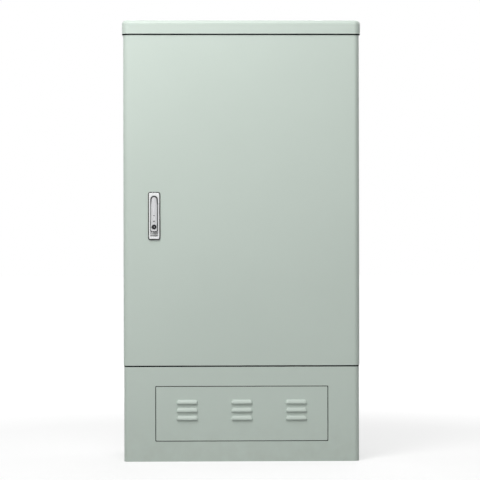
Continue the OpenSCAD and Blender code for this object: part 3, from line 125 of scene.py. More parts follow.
class NodeWriter:
    """Writes nodes in a tree, with places read in the object's own metres."""

    def __init__(self, tree: bpy.types.NodeTree) -> None:
        """Take up a tree.

        Args:
            tree: node tree of a material or of the world.
        """
        self.tree = tree

    def feed(self, target: Socket, value: Value) -> None:
        """Set or link one input of a node.

        Args:
            target: the input.
            value: a number, a colour, a vector or the output that feeds it.
        """
        if isinstance(value, Socket):
            self.tree.links.new(value, target)
        else:
            target.default_value = (*value, 1.0) if target.type == "RGBA" else value

    def node(self, kind: str, inputs: dict[str | int, Value]) -> bpy.types.Node:
        """Add a node.

        Args:
            kind: end of the name of the node's type.
            inputs: what each input gets, by the input's name or place.

        Returns:
            The node.
        """
        node = self.tree.nodes.new(f"ShaderNode{kind}")
        for key, value in inputs.items():
            self.feed(node.inputs[key], value)
        return node

    def place(self) -> Socket:
        """Return the place on the object."""
        return self.node("TexCoord", {}).outputs["Object"]

    def noise(self, grain: Grain) -> Socket:
        """Return a noise field.

        Args:
            grain: size and layers of the noise.

        Returns:
            The output with the noise's value.
        """
        place = self.node("Mapping", {"Vector": self.place(), "Scale": grain.stretch})
        inputs = {"Scale": grain.scale, "Detail": grain.detail}
        return self.node("TexNoise", {"Vector": place.outputs["Vector"], **inputs}).outputs["Fac"]

    def cells(self, scale: float) -> Socket:
        """Return a field of flat random cells, as the spangle of zinc has.

        Args:
            scale: cells in a metre.

        Returns:
            The output with a value per cell.
        """
        cells = self.node("TexVoronoi", {"Vector": self.place(), "Scale": scale})
        return self.node("SeparateColor", {"Color": cells.outputs["Color"]}).outputs["Red"]

    def along(self, axis: str, zero: float, one: float) -> Socket:
        """Return a ramp along an axis.

        Args:
            axis: letter of the axis.
            zero: place in metres where the ramp is zero.
            one: place in metres where the ramp is one.

        Returns:
            The output with the ramp's value.
        """
        split = self.node("SeparateXYZ", {"Vector": self.place()})
        return self.spread(split.outputs[axis], 0.0, 1.0, (zero, one))

    def away(self) -> Socket:
        """Return the distance from the object's origin in metres."""
        node = self.node("VectorMath", {0: self.place()})
        node.operation = "LENGTH"
        return node.outputs["Value"]

    def seen(self) -> Socket:
        """Return an output that tells which rays see the surroundings.

        Returns:
            One for camera, glossy and transmission rays, zero for others.
        """
        rays = self.node("LightPath", {}).outputs
        total = self.combine("MAXIMUM", rays["Is Camera Ray"], rays["Is Glossy Ray"])
        return self.combine("MAXIMUM", total, rays["Is Transmission Ray"])

    def spread(self, value: Socket, low: float, high: float, span: Pair = NOISE_RANGE) -> Socket:
        """Return a value mapped from one range to another.

        Args:
            value: output to map.
            low: result at the start of the span.
            high: result at the end of the span.
            span: values that give low and high.

        Returns:
            The mapped output.
        """
        ends = {"From Min": span[0], "From Max": span[1], "To Min": low, "To Max": high}
        return self.node("MapRange", {"Value": value, **ends}).outputs["Result"]

    def combine(self, operation: str, a: Socket, b: Socket) -> Socket:
        """Return what two outputs come to.

        Args:
            operation: name of the sum that is done.
            a: first output.
            b: second output.

        Returns:
            The output with the result.
        """
        node = self.node("Math", {0: a, 1: b})
        node.operation = operation
        return node.outputs["Value"]

    def mix(self, value: Socket, low: Colour | Socket, high: Colour | Socket) -> Socket:
        """Return a colour between two others.

        Args:
            value: output that chooses, from zero to one.
            low: colour at zero.
            high: colour at one.

        Returns:
            The output with the colour.
        """
        node = self.node("Mix", {})
        node.data_type = "RGBA"
        for key, item in (("Factor", value), *zip(MIX_COLOURS, (low, high))):
            self.feed(node.inputs[key], item)
        return node.outputs[MIX_RESULT]


class ShaderWriter(NodeWriter):
    """Writes the shader of one material."""

    def __init__(self, name: str) -> None:
        """Start a material with a plain shader.

        Args:
            name: name of the material.
        """
        self.material = bpy.data.materials.new(name)
        self.material.use_nodes = True
        super().__init__(self.material.node_tree)
        self.shader = self.tree.nodes["Principled BSDF"]
        self.relief: dict[str | int, Value] = {}

    def put(self, name: str, value: Value) -> None:
        """Set or link one input of the shader.

        Args:
            name: name of the input.
            value: a number, a colour or the output that feeds it.
        """
        self.feed(self.shader.inputs[name], value)

    def bump(self, value: Socket, depth: float) -> None:
        """Add relief to the surface on top of what is there.

        Args:
            value: output with the relief's height from zero to one.
            depth: height of the relief in metres.
        """
        inputs = {"Strength": 1.0, "Distance": depth, "Height": value}
        normal = self.node("Bump", {**inputs, **self.relief}).outputs["Normal"]
        self.put("Normal", normal)
        self.relief = {"Normal": normal}


def shade(colour: Colour, factor: float) -> Colour:
    """Return a colour made lighter or darker.

    Args:
        colour: colour to start from.
        factor: factor on each channel.

    Returns:
        The new colour.
    """
    return (colour[0] * factor, colour[1] * factor, colour[2] * factor)


@dataclass(frozen=True)
class Finish(ABC):
    """A surface finish that writes itself as a material.

    The colour lies between two shades of itself, and the roughness strays both ways.
    """

    slot: Slot
    colour: Colour
    roughness: float
    shades: Pair = (0.95, 1.0)
    stray: Pair = (-0.05, 0.06)
    specular: float = 0.5

    @abstractmethod
    def write(self, writer: ShaderWriter) -> None:
        """Fill the material's node tree.

        Args:
            writer: writer of the material.
        """

    def dapple(self, writer: ShaderWriter, value: Socket, span: Pair = NOISE_RANGE) -> Socket:
        """Return the colour between its two shades.

        Args:
            writer: writer of the material.
            value: field that chooses the shade.
            span: values of the field that give the two shades.

        Returns:
            The output with the colour.
        """
        low, high = self.shades
        choice = writer.spread(value, 0.0, 1.0, span)
        return writer.mix(choice, shade(self.colour, low), shade(self.colour, high))

    def roughen(self, writer: ShaderWriter, value: Socket, span: Pair = NOISE_RANGE) -> None:
        """Let the roughness stray with a field.

        Args:
            writer: writer of the material.
            value: field that the roughness follows.
            span: values of the field that give the lowest and the highest roughness.
        """
        low, high = (self.roughness + step for step in self.stray)
        writer.put("Roughness", writer.spread(value, low, high, span))

    def material(self) -> bpy.types.Material:
        """Return the finish as a material, written on first use.

        Returns:
            The material, which is shared by all pieces of the slot.
        """
        title = f"{self.slot.value}_finish"
        found = bpy.data.materials.get(title)
        if found is not None:
            return found
        writer = ShaderWriter(title)
        writer.put("Specular IOR Level", self.specular)
        self.write(writer)
        return writer.material


@dataclass(frozen=True)
class MouldedSheet(Finish):
    """Pressed glass-fibre sheet with a pigmented skin: slightly wavy, with a fine peel."""

    shades: Pair = (0.985, 1.015)
    specular: float = 0.45
    clouds: Grain = Grain(2.6, 3.0)
    flecks: Grain = Grain(420.0, 1.0)
    fleck_span: Pair = (0.55, 0.75)
    fleck_share: float = 0.22
    fleck_shade: float = 0.93
    splashes: Grain = Grain(34.0, 4.0)
    splash_top: float = 0.16
    dust: float = 0.18
    dust_colour: Colour = (0.42, 0.43, 0.38)
    smears: Grain = Grain(11.0, 4.0, (1.0, 1.0, 0.35))
    waves: Grain = Grain(3.4, 0.0)
    wave_h: float = 0.0006
    skin: Grain = Grain(650.0)
    peel: float = 0.00006

    def write(self, writer: ShaderWriter) -> None:
        """Fill the node tree.

        Args:
            writer: writer of the material.
        """
        tint = self.dapple(writer, writer.noise(self.clouds))
        fleck = writer.spread(writer.noise(self.flecks), 0.0, self.fleck_share, self.fleck_span)
        tint = writer.mix(fleck, tint, shade(self.colour, self.fleck_shade))
        splash = writer.combine(
            "MULTIPLY",
            writer.along("Z", self.splash_top, 0.0),
            writer.spread(writer.noise(self.splashes), 0.0, self.dust),
        )
        writer.put("Base Color", writer.mix(splash, tint, self.dust_colour))
        self.roughen(writer, writer.noise(self.smears))
        writer.bump(writer.noise(self.waves), self.wave_h)
        writer.bump(writer.noise(self.skin), self.peel)


@dataclass(frozen=True)
class Moulding(Finish):
    """Moulded plastic or nylon with a fine spark texture."""

    clouds: Grain = Grain(28.0, 3.0)
    grain: Grain = Grain(900.0)
    relief: float = 0.00004

    def write(self, writer: ShaderWriter) -> None:
        """Fill the node tree.

        Args:
            writer: writer of the material.
        """
        clouds = writer.noise(self.clouds)
        writer.put("Base Color", self.dapple(writer, clouds))
        self.roughen(writer, clouds)
        writer.bump(writer.noise(self.grain), self.relief)


@dataclass(frozen=True)
class Rubber(Moulding):
    """Black moulded rubber, dull, with a bloom and fine pores."""

    shades: Pair = (1.0, 1.7)
    stray: Pair = (-0.08, 0.1)
    specular: float = 0.06
    clouds: Grain = Grain(45.0, 3.0)
    grain: Grain = Grain(1100.0, 3.0)
    relief: float = 0.00018


@dataclass(frozen=True)
class Lacquer(Moulding):
    """Black lacquer on a lock, worn in places."""

    shades: Pair = (1.0, 1.6)
    stray: Pair = (-0.08, 0.12)
    specular: float = 0.12
    clouds: Grain = Grain(160.0, 4.0)
    grain: Grain = Grain(700.0)
    relief: float = 0.00002


@dataclass(frozen=True)
class Metal(Finish):
    """Bare, drawn or plated metal with a lay along one axis."""

    shades: Pair = (0.92, 1.0)
    metallic: float = 1.0
    film: Grain = Grain(40.0, 3.0)
    lay: Grain = Grain(260.0)
    scratch: float = 0.00001

    def write(self, writer: ShaderWriter) -> None:
        """Fill the node tree.

        Args:
            writer: writer of the material.
        """
        writer.put("Metallic", self.metallic)
        writer.put("Base Color", self.dapple(writer, writer.noise(self.film)))
        lines = writer.noise(self.lay)
        self.roughen(writer, lines)
        writer.bump(lines, self.scratch)


@dataclass(frozen=True)
class SatinCasting(Metal):
    """Zinc casting with a satin silver coat, partly dull."""

    shades: Pair = (0.95, 1.0)
    stray: Pair = (-0.06, 0.06)
    metallic: float = 0.3
    film: Grain = Grain(55.0, 3.0)
    lay: Grain = Grain(300.0, 2.0, (8.0, 8.0, 0.5))


@dataclass(frozen=True)
class PlatedTray(Finish):
    """Bright plate with painted shade: the recess behind the rim is painted near black, but for
    painted light on the scoop at the lever's end.
    """

    stray: Pair = (-0.06, 0.075)
    specular: float = 0.3
    metallic: float = 0.5
    film: Grain = Grain(40.0, 3.0)
    rim_y: float = -0.1638
    recess_y: float = -0.1622
    # Painted shade: near-black colour of the recess behind the rim.
    painted_recess_shade: Colour = (0.012, 0.012, 0.013)
    scoop_z: Pair = (0.7175, 0.7305)
    scoop_y: float = -0.1505
    scoop_fade: float = 0.001
    # Painted light: pale colour of the scoop, which the lever's shade and reflection would
    # darken.
    painted_scoop_light: Colour = (0.94, 0.95, 0.95)

    def write(self, writer: ShaderWriter) -> None:
        """Fill the node tree.

        Args:
            writer: writer of the material.
        """
        # Painted shade over the recess, which also loses its metal, with a band of painted light
        # on the scoop.
        recess_shade_mask = writer.along("Y", self.rim_y, self.recess_y)
        low, high = self.scoop_z
        fade = self.scoop_fade
        painted_light_mask = writer.along("Y", self.scoop_y + fade, self.scoop_y)
        for start, end in ((low - fade, low), (high + fade, high)):
            painted_light_mask = writer.combine("MULTIPLY", painted_light_mask, writer.along("Z", start, end))
        painted_light_and_shade = writer.mix(painted_light_mask, self.painted_recess_shade, self.painted_scoop_light)
        writer.put("Metallic", writer.spread(recess_shade_mask, self.metallic, 0.0, FULL_RANGE))
        writer.put("Base Color", writer.mix(recess_shade_mask, self.colour, painted_light_and_shade))
        self.roughen(writer, writer.noise(self.film))


@dataclass(frozen=True)
class Galvanised(Finish):
    """Zinc-dipped sheet with its spangle."""

    shades: Pair = (0.86, 1.05)
    stray: Pair = (-0.07, 0.08)
    spangle: float = 130.0
    grain: Grain = Grain(300.0)
    relief: float = 0.00002

    def write(self, writer: ShaderWriter) -> None:
        """Fill the node tree.

        Args:
            writer: writer of the material.
        """
        cells = writer.cells(self.spangle)
        writer.put("Metallic", 1.0)
        writer.put("Base Color", self.dapple(writer, cells, FULL_RANGE))
        self.roughen(writer, cells, FULL_RANGE)
        writer.bump(writer.noise(self.grain), self.relief)


FINISHES: dict[Slot, Finish] = {
    finish.slot: finish
    for finish in (
        MouldedSheet(Slot.MOULDED_PANEL, (0.574, 0.656, 0.596), 0.40),
        MouldedSheet(Slot.MOULDED_INNER, (0.52, 0.585, 0.53), 0.55, peel=0.00012, dust=0.0),
        Galvanised(Slot.GALVANISED_SHEET, (0.62, 0.64, 0.66), 0.36),
        Metal(
            Slot.ZINC_FASTENER, (0.66, 0.66, 0.64), 0.30, shades=(0.85, 1.0), stray=(-0.06, 0.075)
        ),
        Metal(
            Slot.BRIGHT_STEEL,
            (0.70, 0.70, 0.71),
            0.24,
            stray=(-0.048, 0.06),
            lay=Grain(260.0, 2.0, (8.0, 8.0, 0.4)),
        ),
        Metal(
            Slot.ZINC_CASTING, (0.50, 0.51, 0.52), 0.48, stray=(-0.096, 0.12), scratch=0.00004
        ),
        # Chrome bezel whose recess is painted shade and whose scoop is painted light.
        PlatedTray(Slot.CHROME_BEZEL, (0.64, 0.65, 0.65), 0.30),
        SatinCasting(Slot.SATIN_LEVER, (0.62, 0.625, 0.635), 0.45),
        Lacquer(Slot.BLACK_LOCK, (0.018, 0.018, 0.02), 0.32),
        Moulding(Slot.BLACK_NYLON, (0.03, 0.03, 0.034), 0.48),
        # Black rubber, set darker than plain rubber so that the seals in the gaps also paint deep
        # shade there.
        Rubber(Slot.SEAL_RUBBER, (0.007, 0.007, 0.0075), 0.82),
        Moulding(Slot.MODULE_PLASTIC, (0.76, 0.76, 0.72), 0.34, grain=Grain(600.0)),
        Moulding(Slot.POCKET_PLASTIC, (0.58, 0.59, 0.58), 0.38),
        Metal(
            Slot.COPPER_BAR,
            (0.74, 0.43, 0.27),
            0.30,
            shades=(0.8, 1.0),
            stray=(-0.06, 0.075),
            lay=Grain(260.0, 2.0, (0.4, 8.0, 8.0)),
        ),
        Moulding(Slot.RED_INSULATOR, (0.36, 0.05, 0.03), 0.30),
    )
}


def rounded_rect(
    low: Pair, high: Pair, radius: float, steps: int = 8, top_radius: float | None = None
) -> list[Pair]:
    """Return a rectangle with round corners, counter-clockwise.

    Args:
        low: lower left corner.
        high: upper right corner.
        radius: radius of the corners.
        steps: stretches in each corner.
        top_radius: radius of the two upper corners, where it is another.

    Returns:
        The outline's points.
    """
    top = radius if top_radius is None else top_radius
    corners = (
        (high[0] - radius, low[1] + radius, radius, -90),
        (high[0] - top, high[1] - top, top, 0),
        (low[0] + top, high[1] - top, top, 90),
        (low[0] + radius, low[1] + radius, radius, 180),
    )
    points: list[Pair] = []
    for x, y, r, start in corners:
        for i in range(steps + 1):
            angle = math.radians(start + 90 * i / steps)
            points.append((x + r * math.cos(angle), y + r * math.sin(angle)))
    return points


@dataclass(frozen=True)
class FrontEdge:
    """Plan of a front edge with two round corners, open behind, in millimetres."""

    half_w: float
    front_y: float
    end_y: float
    corner_r: float
    steps: int = 12

    def line(self, inset: float) -> list[Pair]:
        """Return the edge's line from left to right, as sides and depths.

        Args:
            inset: distance inside the edge.

        Returns:
            The points of the open line.
        """
        radius = self.corner_r - inset
        points: list[Pair] = [(inset - self.half_w, self.end_y)]
        for side, start in ((-1, 180), (1, 270)):
            x = side * (self.half_w - self.corner_r)
            y = self.front_y + self.corner_r
            for i in range(self.steps + 1):
                angle = math.radians(start + 90 * i / self.steps)
                points.append((x + radius * math.cos(angle), y + radius * math.sin(angle)))
        points.append((self.half_w - inset, self.end_y))
        return points


class Former:
    """Gathers closed rings of points, in millimetres, and makes them one mesh."""

    def __init__(self) -> None:
        """Start with no points and no faces."""
        self.points: list[Triple] = []
        self.faces: list[tuple[int, ...]] = []

    def ring(self, points: Iterable[Triple]) -> list[int]:
        """Add a row of points.

        Args:
            points: the points in order.

        Returns:
            Their numbers.
        """
        start = len(self.points)
        self.points.extend(points)
        return list(range(start, len(self.points)))

    def loft(self, rings: Sequence[Sequence[Triple]], around: bool = False) -> None:
        """Skin closed rings of equal length.

        Args:
            rings: the rings in order.
            around: whether the last ring joins the first, in place of a cap on each.
        """
        rows = [self.ring(points) for points in rings]
        pairs = list(zip(rows, rows[1:]))
        if around:
            pairs.append((rows[-1], rows[0]))
        else:
            self.faces.append(tuple(reversed(rows[0])))
            self.faces.append(tuple(rows[-1]))
        for a, b in pairs:
            for i in range(len(a)):
                j = (i + 1) % len(a)
                self.faces.append((a[i], a[j], b[j], b[i]))

    def frame(self, outer: Sequence[Pair], inner: Sequence[Pair], y0: float, y1: float) -> None:
        """Add an upright frame between two closed outlines and two depths.

        Args:
            outer: outer outline as sides and heights.
            inner: inner outline with as many points.
            y0: depth of the front.
            y1: depth of the back.
        """
        section = ((outer, y0), (outer, y1), (inner, y1), (inner, y0))
        self.loft([[(x, y, z) for x, z in outline] for outline, y in section], around=True)

    def strip(self, edge: FrontEdge, insets: Pair, heights: Pair) -> None:
        """Add a level strip along a front edge.

        Args:
            edge: the edge that it follows.
            insets: distances of its two sides inside the edge.
            heights: heights of its underside and its top.
        """
        outer, inner = (edge.line(inset) for inset in insets)
        z0, z1 = heights
        self.loft([[(*a, z0), (*b, z0), (*b, z1), (*a, z1)] for a, b in zip(outer, inner)])

    def box(self, low: Triple, high: Triple) -> None:
        """Add a box.

        Args:
            low: lowest corner.
            high: highest corner.
        """
        plan = [(low[0], low[1]), (high[0], low[1]), (high[0], high[1]), (low[0], high[1])]
        self.loft([[(x, y, z) for x, y in plan] for z in (low[2], high[2])])

    def turned(
        self,
        centre: Triple,
        axis: Triple,
        profile: Sequence[Pair],
        steps: int,
        around: bool = False,
    ) -> None:
        """Add a turned solid.

        Args:
            centre: point on the axis where the profile's height is zero.
            axis: direction of the profile's height.
            profile: radius and height of each ring.
            steps: points in a ring.
            around: whether the profile is a closed loop, as a grommet's is.
        """
        turn = Vector(UPWARD).rotation_difference(Vector(axis)).to_matrix()
        rings = []
        for radius, height in profile:
            ring = []
            for i in range(steps):
                angle = math.tau * i / steps
                arm = Vector((radius * math.cos(angle), radius * math.sin(angle), height))
                ring.append(tuple(Vector(centre) + turn @ arm))
            rings.append(ring)
        self.loft(rings, around=around)

    def build(self, name: str, crease: float = 35.0) -> Piece:
        """Make the mesh object.

        Args:
            name: name of the piece.
            crease: angle in degrees above which an edge stays sharp.

        Returns:
            The object, in the scene.
        """
        mesh = bpy.data.meshes.new(name)
        mesh.from_pydata([Vector(p) * MM for p in self.points], [], self.faces)
        work = bmesh.new()
        work.from_mesh(mesh)
        bmesh.ops.recalc_face_normals(work, faces=work.faces)
        work.to_mesh(mesh)
        work.free()
        mesh.shade_smooth()
        mesh.set_sharp_from_angle(angle=math.radians(crease))
        piece = bpy.data.objects.new(name, mesh)
        bpy.context.scene.collection.objects.link(piece)
        return piece


def soften(piece: Piece, width: float) -> None:
    """Round the sharp edges of a carried-over mesh with modifiers.

    Args:
        piece: the mesh object, with split and triangulated faces.
        width: width of the rounding in millimetres.
    """
    for polygon in piece.data.polygons:
        polygon.use_smooth = True
    weld = piece.modifiers.new("weld", "WELD")
    weld.merge_threshold = WELD_WITHIN * MM
    dissolve = piece.modifiers.new("dissolve", "DECIMATE")
    dissolve.decimate_type = "DISSOLVE"
    dissolve.angle_limit = math.radians(FLAT_BELOW)
    bevel = piece.modifiers.new("bevel", "BEVEL")
    bevel.limit_method = "ANGLE"
    bevel.angle_limit = math.radians(EDGE_ABOVE)
    bevel.width = width * MM
    bevel.segments = EDGE_SEGMENTS
    bevel.use_clamp_overlap = True
    normals = piece.modifiers.new("normals", "WEIGHTED_NORMAL")
    normals.keep_sharp = False


def soft_edges(**widths: float) -> Widths:
    """Return a dataclass field with the width of the soft edges of each CAD node.

    Args:
        widths: width in millimetres by the node's name, zero for edges left as they are.

    Returns:
        The field, which gives every group a table of its own.
    """
    return field(default_factory=widths.copy)


@dataclass
class SubAssembly:
    """A group of CAD nodes with the width of their soft edges, and its own fine pieces."""

    body: Body = Body.CABINET
    edges: Widths = soft_edges()

    def dress(self, nodes: dict[str, Piece], slots: dict[str, Slot]) -> None:
        """Give each CAD node its finish and soft edges.

        Args:
            nodes: CAD objects by name.
            slots: material slot of each node.
        """
        for name, width in self.edges.items():
            node = nodes[name]
            node.data.materials.clear()
            node.data.materials.append(FINISHES[slots[name]].material())
            if width > 0:
                soften(node, width)
            LOG.info("dressed %s", name)

    def add(self, piece: Piece, slot: Slot, *nodes: str, body: Body | None = None) -> None:
        """Finish a new piece and hang it on its body.

        Args:
            piece: the new piece.
            slot: material slot that it takes.
            nodes: CAD nodes that it stands for.
            body: body that carries it, if not the sub-assembly's own.
        """
        piece.data.materials.append(FINISHES[slot].material())
        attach(piece, (body or self.body).value)
        if nodes:
            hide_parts(*nodes)
        LOG.info("built %s", piece.name)

    def build(self) -> None:
        """Build the fine pieces, where the group has any."""


@dataclass
class Plinth(SubAssembly):
    """Hollow base with its louvred access panel and turn buttons."""

    edges: Widths = soft_edges(
        plinth=0.8,
        access_panel=0.4,
        turn_button_left=0.5,
        turn_button_right=0.5,
        turn_button_nuts=0.4,
        body_bolts=0.4,
    )
    # Rubber seals in the gaps under the door and round the access panel: real seals, set near
    # black as painted shade in the gaps.
    sill: FrontEdge = FrontEdge(373.5, -158.5, -128.0, 16.5)
    sill_in: Pair = (1.0, 3.0)
    sill_z: Pair = (299.95, 303.9)
    hatch_low: Pair = (-274.5, 63.5)
    hatch_high: Pair = (274.5, 239.5)
    hatch_r: float = 3.0
    hatch_gap: Pair = (0.1, 2.4)
    hatch_shade_seal_y: Pair = (-155.6, -153.2)

    def sill_shade_seal(self) -> None:
        """Lay the rubber sill under the door, along the plinth's front edge: a near-black strip
        in the gap that paints the gap's shade.
        """
        former = Former()
        former.strip(self.sill, self.sill_in, self.sill_z)
        self.add(former.build("sill_shade_seal"), Slot.SEAL_RUBBER)

    def hatch_shade_seal(self) -> None:
        """Fit the rubber strip in the gap round the access panel: a near-black frame that paints
        the gap's shade.
        """
        outlines = [
            rounded_rect(
                (self.hatch_low[0] + inset, self.hatch_low[1] + inset),
                (self.hatch_high[0] - inset, self.hatch_high[1] - inset),
                self.hatch_r,
            )
            for inset in self.hatch_gap
        ]
        former = Former()
        former.frame(outlines[0], outlines[1], *self.hatch_shade_seal_y)
        self.add(former.build("hatch_shade_seal"), Slot.SEAL_RUBBER)

    def build(self) -> None:
        """Build the plinth's seals, near-black strips that paint shade into the gaps."""
        self.sill_shade_seal()
        self.hatch_shade_seal()


@dataclass
class Shell(SubAssembly):
    """Body panels, door frame, roof and what holds them together."""

    edges: Widths = soft_edges(
        floor_panel=0.8,
        side_panel_left=0.9,
        side_panel_right=0.9,
        back_panel=0.9,
        back_panel_screws=0.5,
        door_frame=0.8,
        frame_bolts=0.4,
        ceiling_panel=0.8,
        roof_cap=0.6,
        roof_bolts=0.4,
        strike_plates=0.6,
        pivot_bracket_top=0.5,
        pivot_bracket_bottom=0.5,
        pivot_bracket_screws=0.4,
        pivot_pin_top=0.4,
        pivot_pin_bottom=0.4,
        thrust_washer=0.2,
    )
    # Rain seal and lip in the gap above the door: a real seal, set near black as painted shade in
    # the gap.
    hood: FrontEdge = FrontEdge(375.0, -160.0, -126.0, 18.0)
    hood_in: Pair = (1.2, 3.2)
    hood_z: Pair = (1353.0, 1364.0)
    lip_in: Pair = (-3.8, 1.2)
    lip_z: Pair = (1355.6, 1356.45)

    def build(self) -> None:
        """Hang the rubber rain seal under the roof's front edge, above the door: a near-black
        strip that paints the gap's shade.
        """
        former = Former()
        former.strip(self.hood, self.hood_in, self.hood_z)
        former.strip(self.hood, self.lip_in, self.lip_z)
        self.add(former.build("hood_shade_seal"), Slot.SEAL_RUBBER)


@dataclass
class Door(SubAssembly):
    """Door pan with its stiffeners, pocket, bushes and rubber seal."""

    body: Body = Body.DOOR
    edges: Widths = soft_edges(
        door_pan=1.0,
        door_seal=0.0,
        door_stiffeners=0.8,
        document_pocket=0.9,
        pivot_bush_top=0.5,
        pivot_bush_bottom=0.5,
    )
    opening_low: Pair = (-333.0, 342.0)
    opening_high: Pair = (323.0, 1314.5)
    opening_r: float = 12.0
    seal_middle: float = 2.0
    seal_half_w: float = 7.0
    seal_base_y: float = -156.0
    seal_shoulder_y: float = -151.2
    seal_top_y: float = -144.0
    seal_steps: int = 14
    seal_power: float = 0.7

    def seal_ring(self, grow: float, y: float) -> list[Triple]:
        """Return the opening's outline at a depth.

        Args:
            grow: distance outside the opening's edge.
            y: depth of the ring.

        Returns:
            The ring's points.
        """
        low = (self.opening_low[0] - grow, self.opening_low[1] - grow)
        high = (self.opening_high[0] + grow, self.opening_high[1] + grow)
        return [(x, y, z) for x, z in rounded_rect(low, high, self.opening_r + grow)]

    def seal_section(self) -> list[Pair]:
        """Return the seal's section, squarer than an arch: side and depth.

        Returns:
            The section's points, from one foot over the top to the other.
        """
        rise = self.seal_top_y - self.seal_shoulder_y
        section = [(self.seal_half_w, self.seal_base_y)]
        for i in range(self.seal_steps + 1):
            angle = math.pi * i / self.seal_steps
            side = math.copysign(abs(math.cos(angle)) ** self.seal_power, math.cos(angle))
            height = math.sin(angle) ** self.seal_power
            section.append((self.seal_half_w * side, self.seal_shoulder_y + rise * height))
        section.append((-self.seal_half_w, self.seal_base_y))
        return section

    def build(self) -> None:
        """Sweep the seal's rounded section round the opening."""
        rings = [self.seal_ring(self.seal_middle + side, y) for side, y in self.seal_section()]
        former = Former()
        former.loft(rings, around=True)
        self.add(former.build("seal_strip"), Slot.SEAL_RUBBER, "door_seal")


@dataclass
class SwingHandle(SubAssembly):
    """Chrome bezel with its folding lever and lock.

    The rim's steps are distances outside an outline and drops behind its front, the gasket's
    distances outside the bezel and depths, the collar's radii and depths, and a stud's shares of
    its radius and heights.
    """

    body: Body = Body.DOOR
    edges: Widths = soft_edges(
        handle_bezel=0.0,
        handle_lever=0.7,
        lever_plate=0.2,
        lock_barrel=0.5,
        key_plug=0.25,
        handle_spindle=0.4,
        lever_cross_pin=0.3,
    )
    handle_x: float = -277.0
    crease: float = 60.0
    corner_steps: int = 16
    stud_y: float = -177.8
    stud_z: Pair = (762.0, 780.0)
    stud_r: Pair = (2.2, 1.8)
    stud_form: Profile = ((1.0, 0.0), (1.0, 0.3), (0.75, 0.6), (0.3, 0.7))
    stud_steps: int = 24
    bezel_half_w: float = 18.0
    bezel_z: Pair = (704.5, 853.5)
    bezel_r: float = 5.0
    rim_y: float = -165.2
    rim_foot_y: float = -160.4
    rim_outer: Profile = ((-1.4, 0.9), (-1.5, 0.45), (-1.8, 0.12), (-2.5, 0.0))
    rim_inner: Profile = ((1.1, 0.0), (0.35, 0.12), (0.05, 0.5), (-0.05, 1.2), (-0.05, 3.0))
    dish_half_w: float = 12.0
    dish_z: Pair = (714.0, 843.0)
    dish_foot_r: float = 0.6
    # Gasket round the bezel's edge: partly a real gasket, partly a dark outline of painted shade.
    gasket: Profile = (
        (1.2, -160.0),
        (1.2, -161.0),
        (0.95, -163.6),
        (0.5, -164.8),
        (0.0, -165.15),
        (-0.8, -165.3),
        (-1.5, -165.25),
        (-1.6, -164.9),
    )
    spindle_z: float = 831.0
    # Black washer round the lever's head: partly a real washer, partly painted shade in the dark
    # arch.
    collar: Profile = ((9.1, -153.3), (9.1, -152.9), (6.0, -152.9), (6.0, -153.3))
    collar_steps: int = 40
    shutter: tuple[Triple, Triple] = ((-277.8, -174.3, 740.4), (-276.2, -173.3, 747.6))

    def plate_studs(self) -> None:
        """Turn the two dark plugs of the oval plate."""
        former = Former()
        for z, radius in zip(self.stud_z, self.stud_r):
            profile = [(radius * share, height) for share, height in self.stud_form]
            former.turned((self.handle_x, self.stud_y, z), FORWARD, profile, self.stud_steps)
        self.add(former.build("plate_studs"), Slot.SEAL_RUBBER, body=Body.LEVER)

    def bezel_outline(self, grow: float) -> list[Pair]:
        """Return the bezel's outer outline.

        Args:
            grow: distance outside the bezel's edge.

        Returns:
            The outline's points.
        """
        return rounded_rect(
            (self.handle_x - self.bezel_half_w - grow, self.bezel_z[0] - grow),
            (self.handle_x + self.bezel_half_w + grow, self.bezel_z[1] + grow),
            self.bezel_r + grow,
            self.corner_steps,
        )

    def dish_outline(self, grow: float) -> list[Pair]:
        """Return the outline of the bezel's dish, round above and square below.

        Args:
            grow: distance outside the dish's edge.

        Returns:
            The outline's points.
        """
        return rounded_rect(
            (self.handle_x - self.dish_half_w - grow, self.dish_z[0] - grow),
            (self.handle_x + self.dish_half_w + grow, self.dish_z[1] + grow),
            self.dish_foot_r + max(grow, 0.0),
            self.corner_steps,
            self.dish_half_w + grow,
        )

    def plated_rim(self) -> None:
        """Lay the bright rim on the bezel, with rounded edges outside and round the dish."""
        foot = self.bezel_outline(self.rim_outer[0][0])
        rings = [[(x, self.rim_foot_y, z) for x, z in foot]]
        sides = ((self.bezel_outline, self.rim_outer), (self.dish_outline, self.rim_inner))
        for outline, steps in sides:
            for grow, drop in steps:
                rings.append([(x, self.rim_y + drop, z) for x, z in outline(grow)])
        former = Former()
        former.loft(rings, around=True)
        self.add(former.build("plated_rim", self.crease), Slot.CHROME_BEZEL)

    def bezel_shade_gasket(self) -> None:
        """Wrap the rubber gasket round the bezel's edge, from the door's face to the rim; it is a
        real gasket, and its black outline also paints the shade round the bezel.
        """
        rings = [[(x, y, z) for x, z in self.bezel_outline(grow)] for grow, y in self.gasket]
        former = Former()
        former.loft(rings, around=True)
        self.add(former.build("bezel_shade_gasket", self.crease), Slot.SEAL_RUBBER)

    def collar_shade_washer(self) -> None:
        """Lay the black nylon washer on the spindle's collar, behind the lever's head, where it
        also paints the shade round the lever's head.
        """
        centre = (self.handle_x, 0.0, self.spindle_z)
        former = Former()
        former.turned(centre, BACKWARD, self.collar, self.collar_steps, around=True)
        self.add(former.build("collar_shade_washer"), Slot.BLACK_NYLON, body=Body.SPINDLE)

    def key_shutter(self) -> None:
        """Put the zinc shutter behind the key slot."""
        former = Former()
        former.box(*self.shutter)
        self.add(former.build("key_shutter"), Slot.ZINC_CASTING, body=Body.PLUG)

    def build(self) -> None:
        """Build the fine pieces of the handle."""
        self.plate_studs()
        self.plated_rim()
        self.bezel_shade_gasket()
        self.collar_shade_washer()
        self.key_shutter()


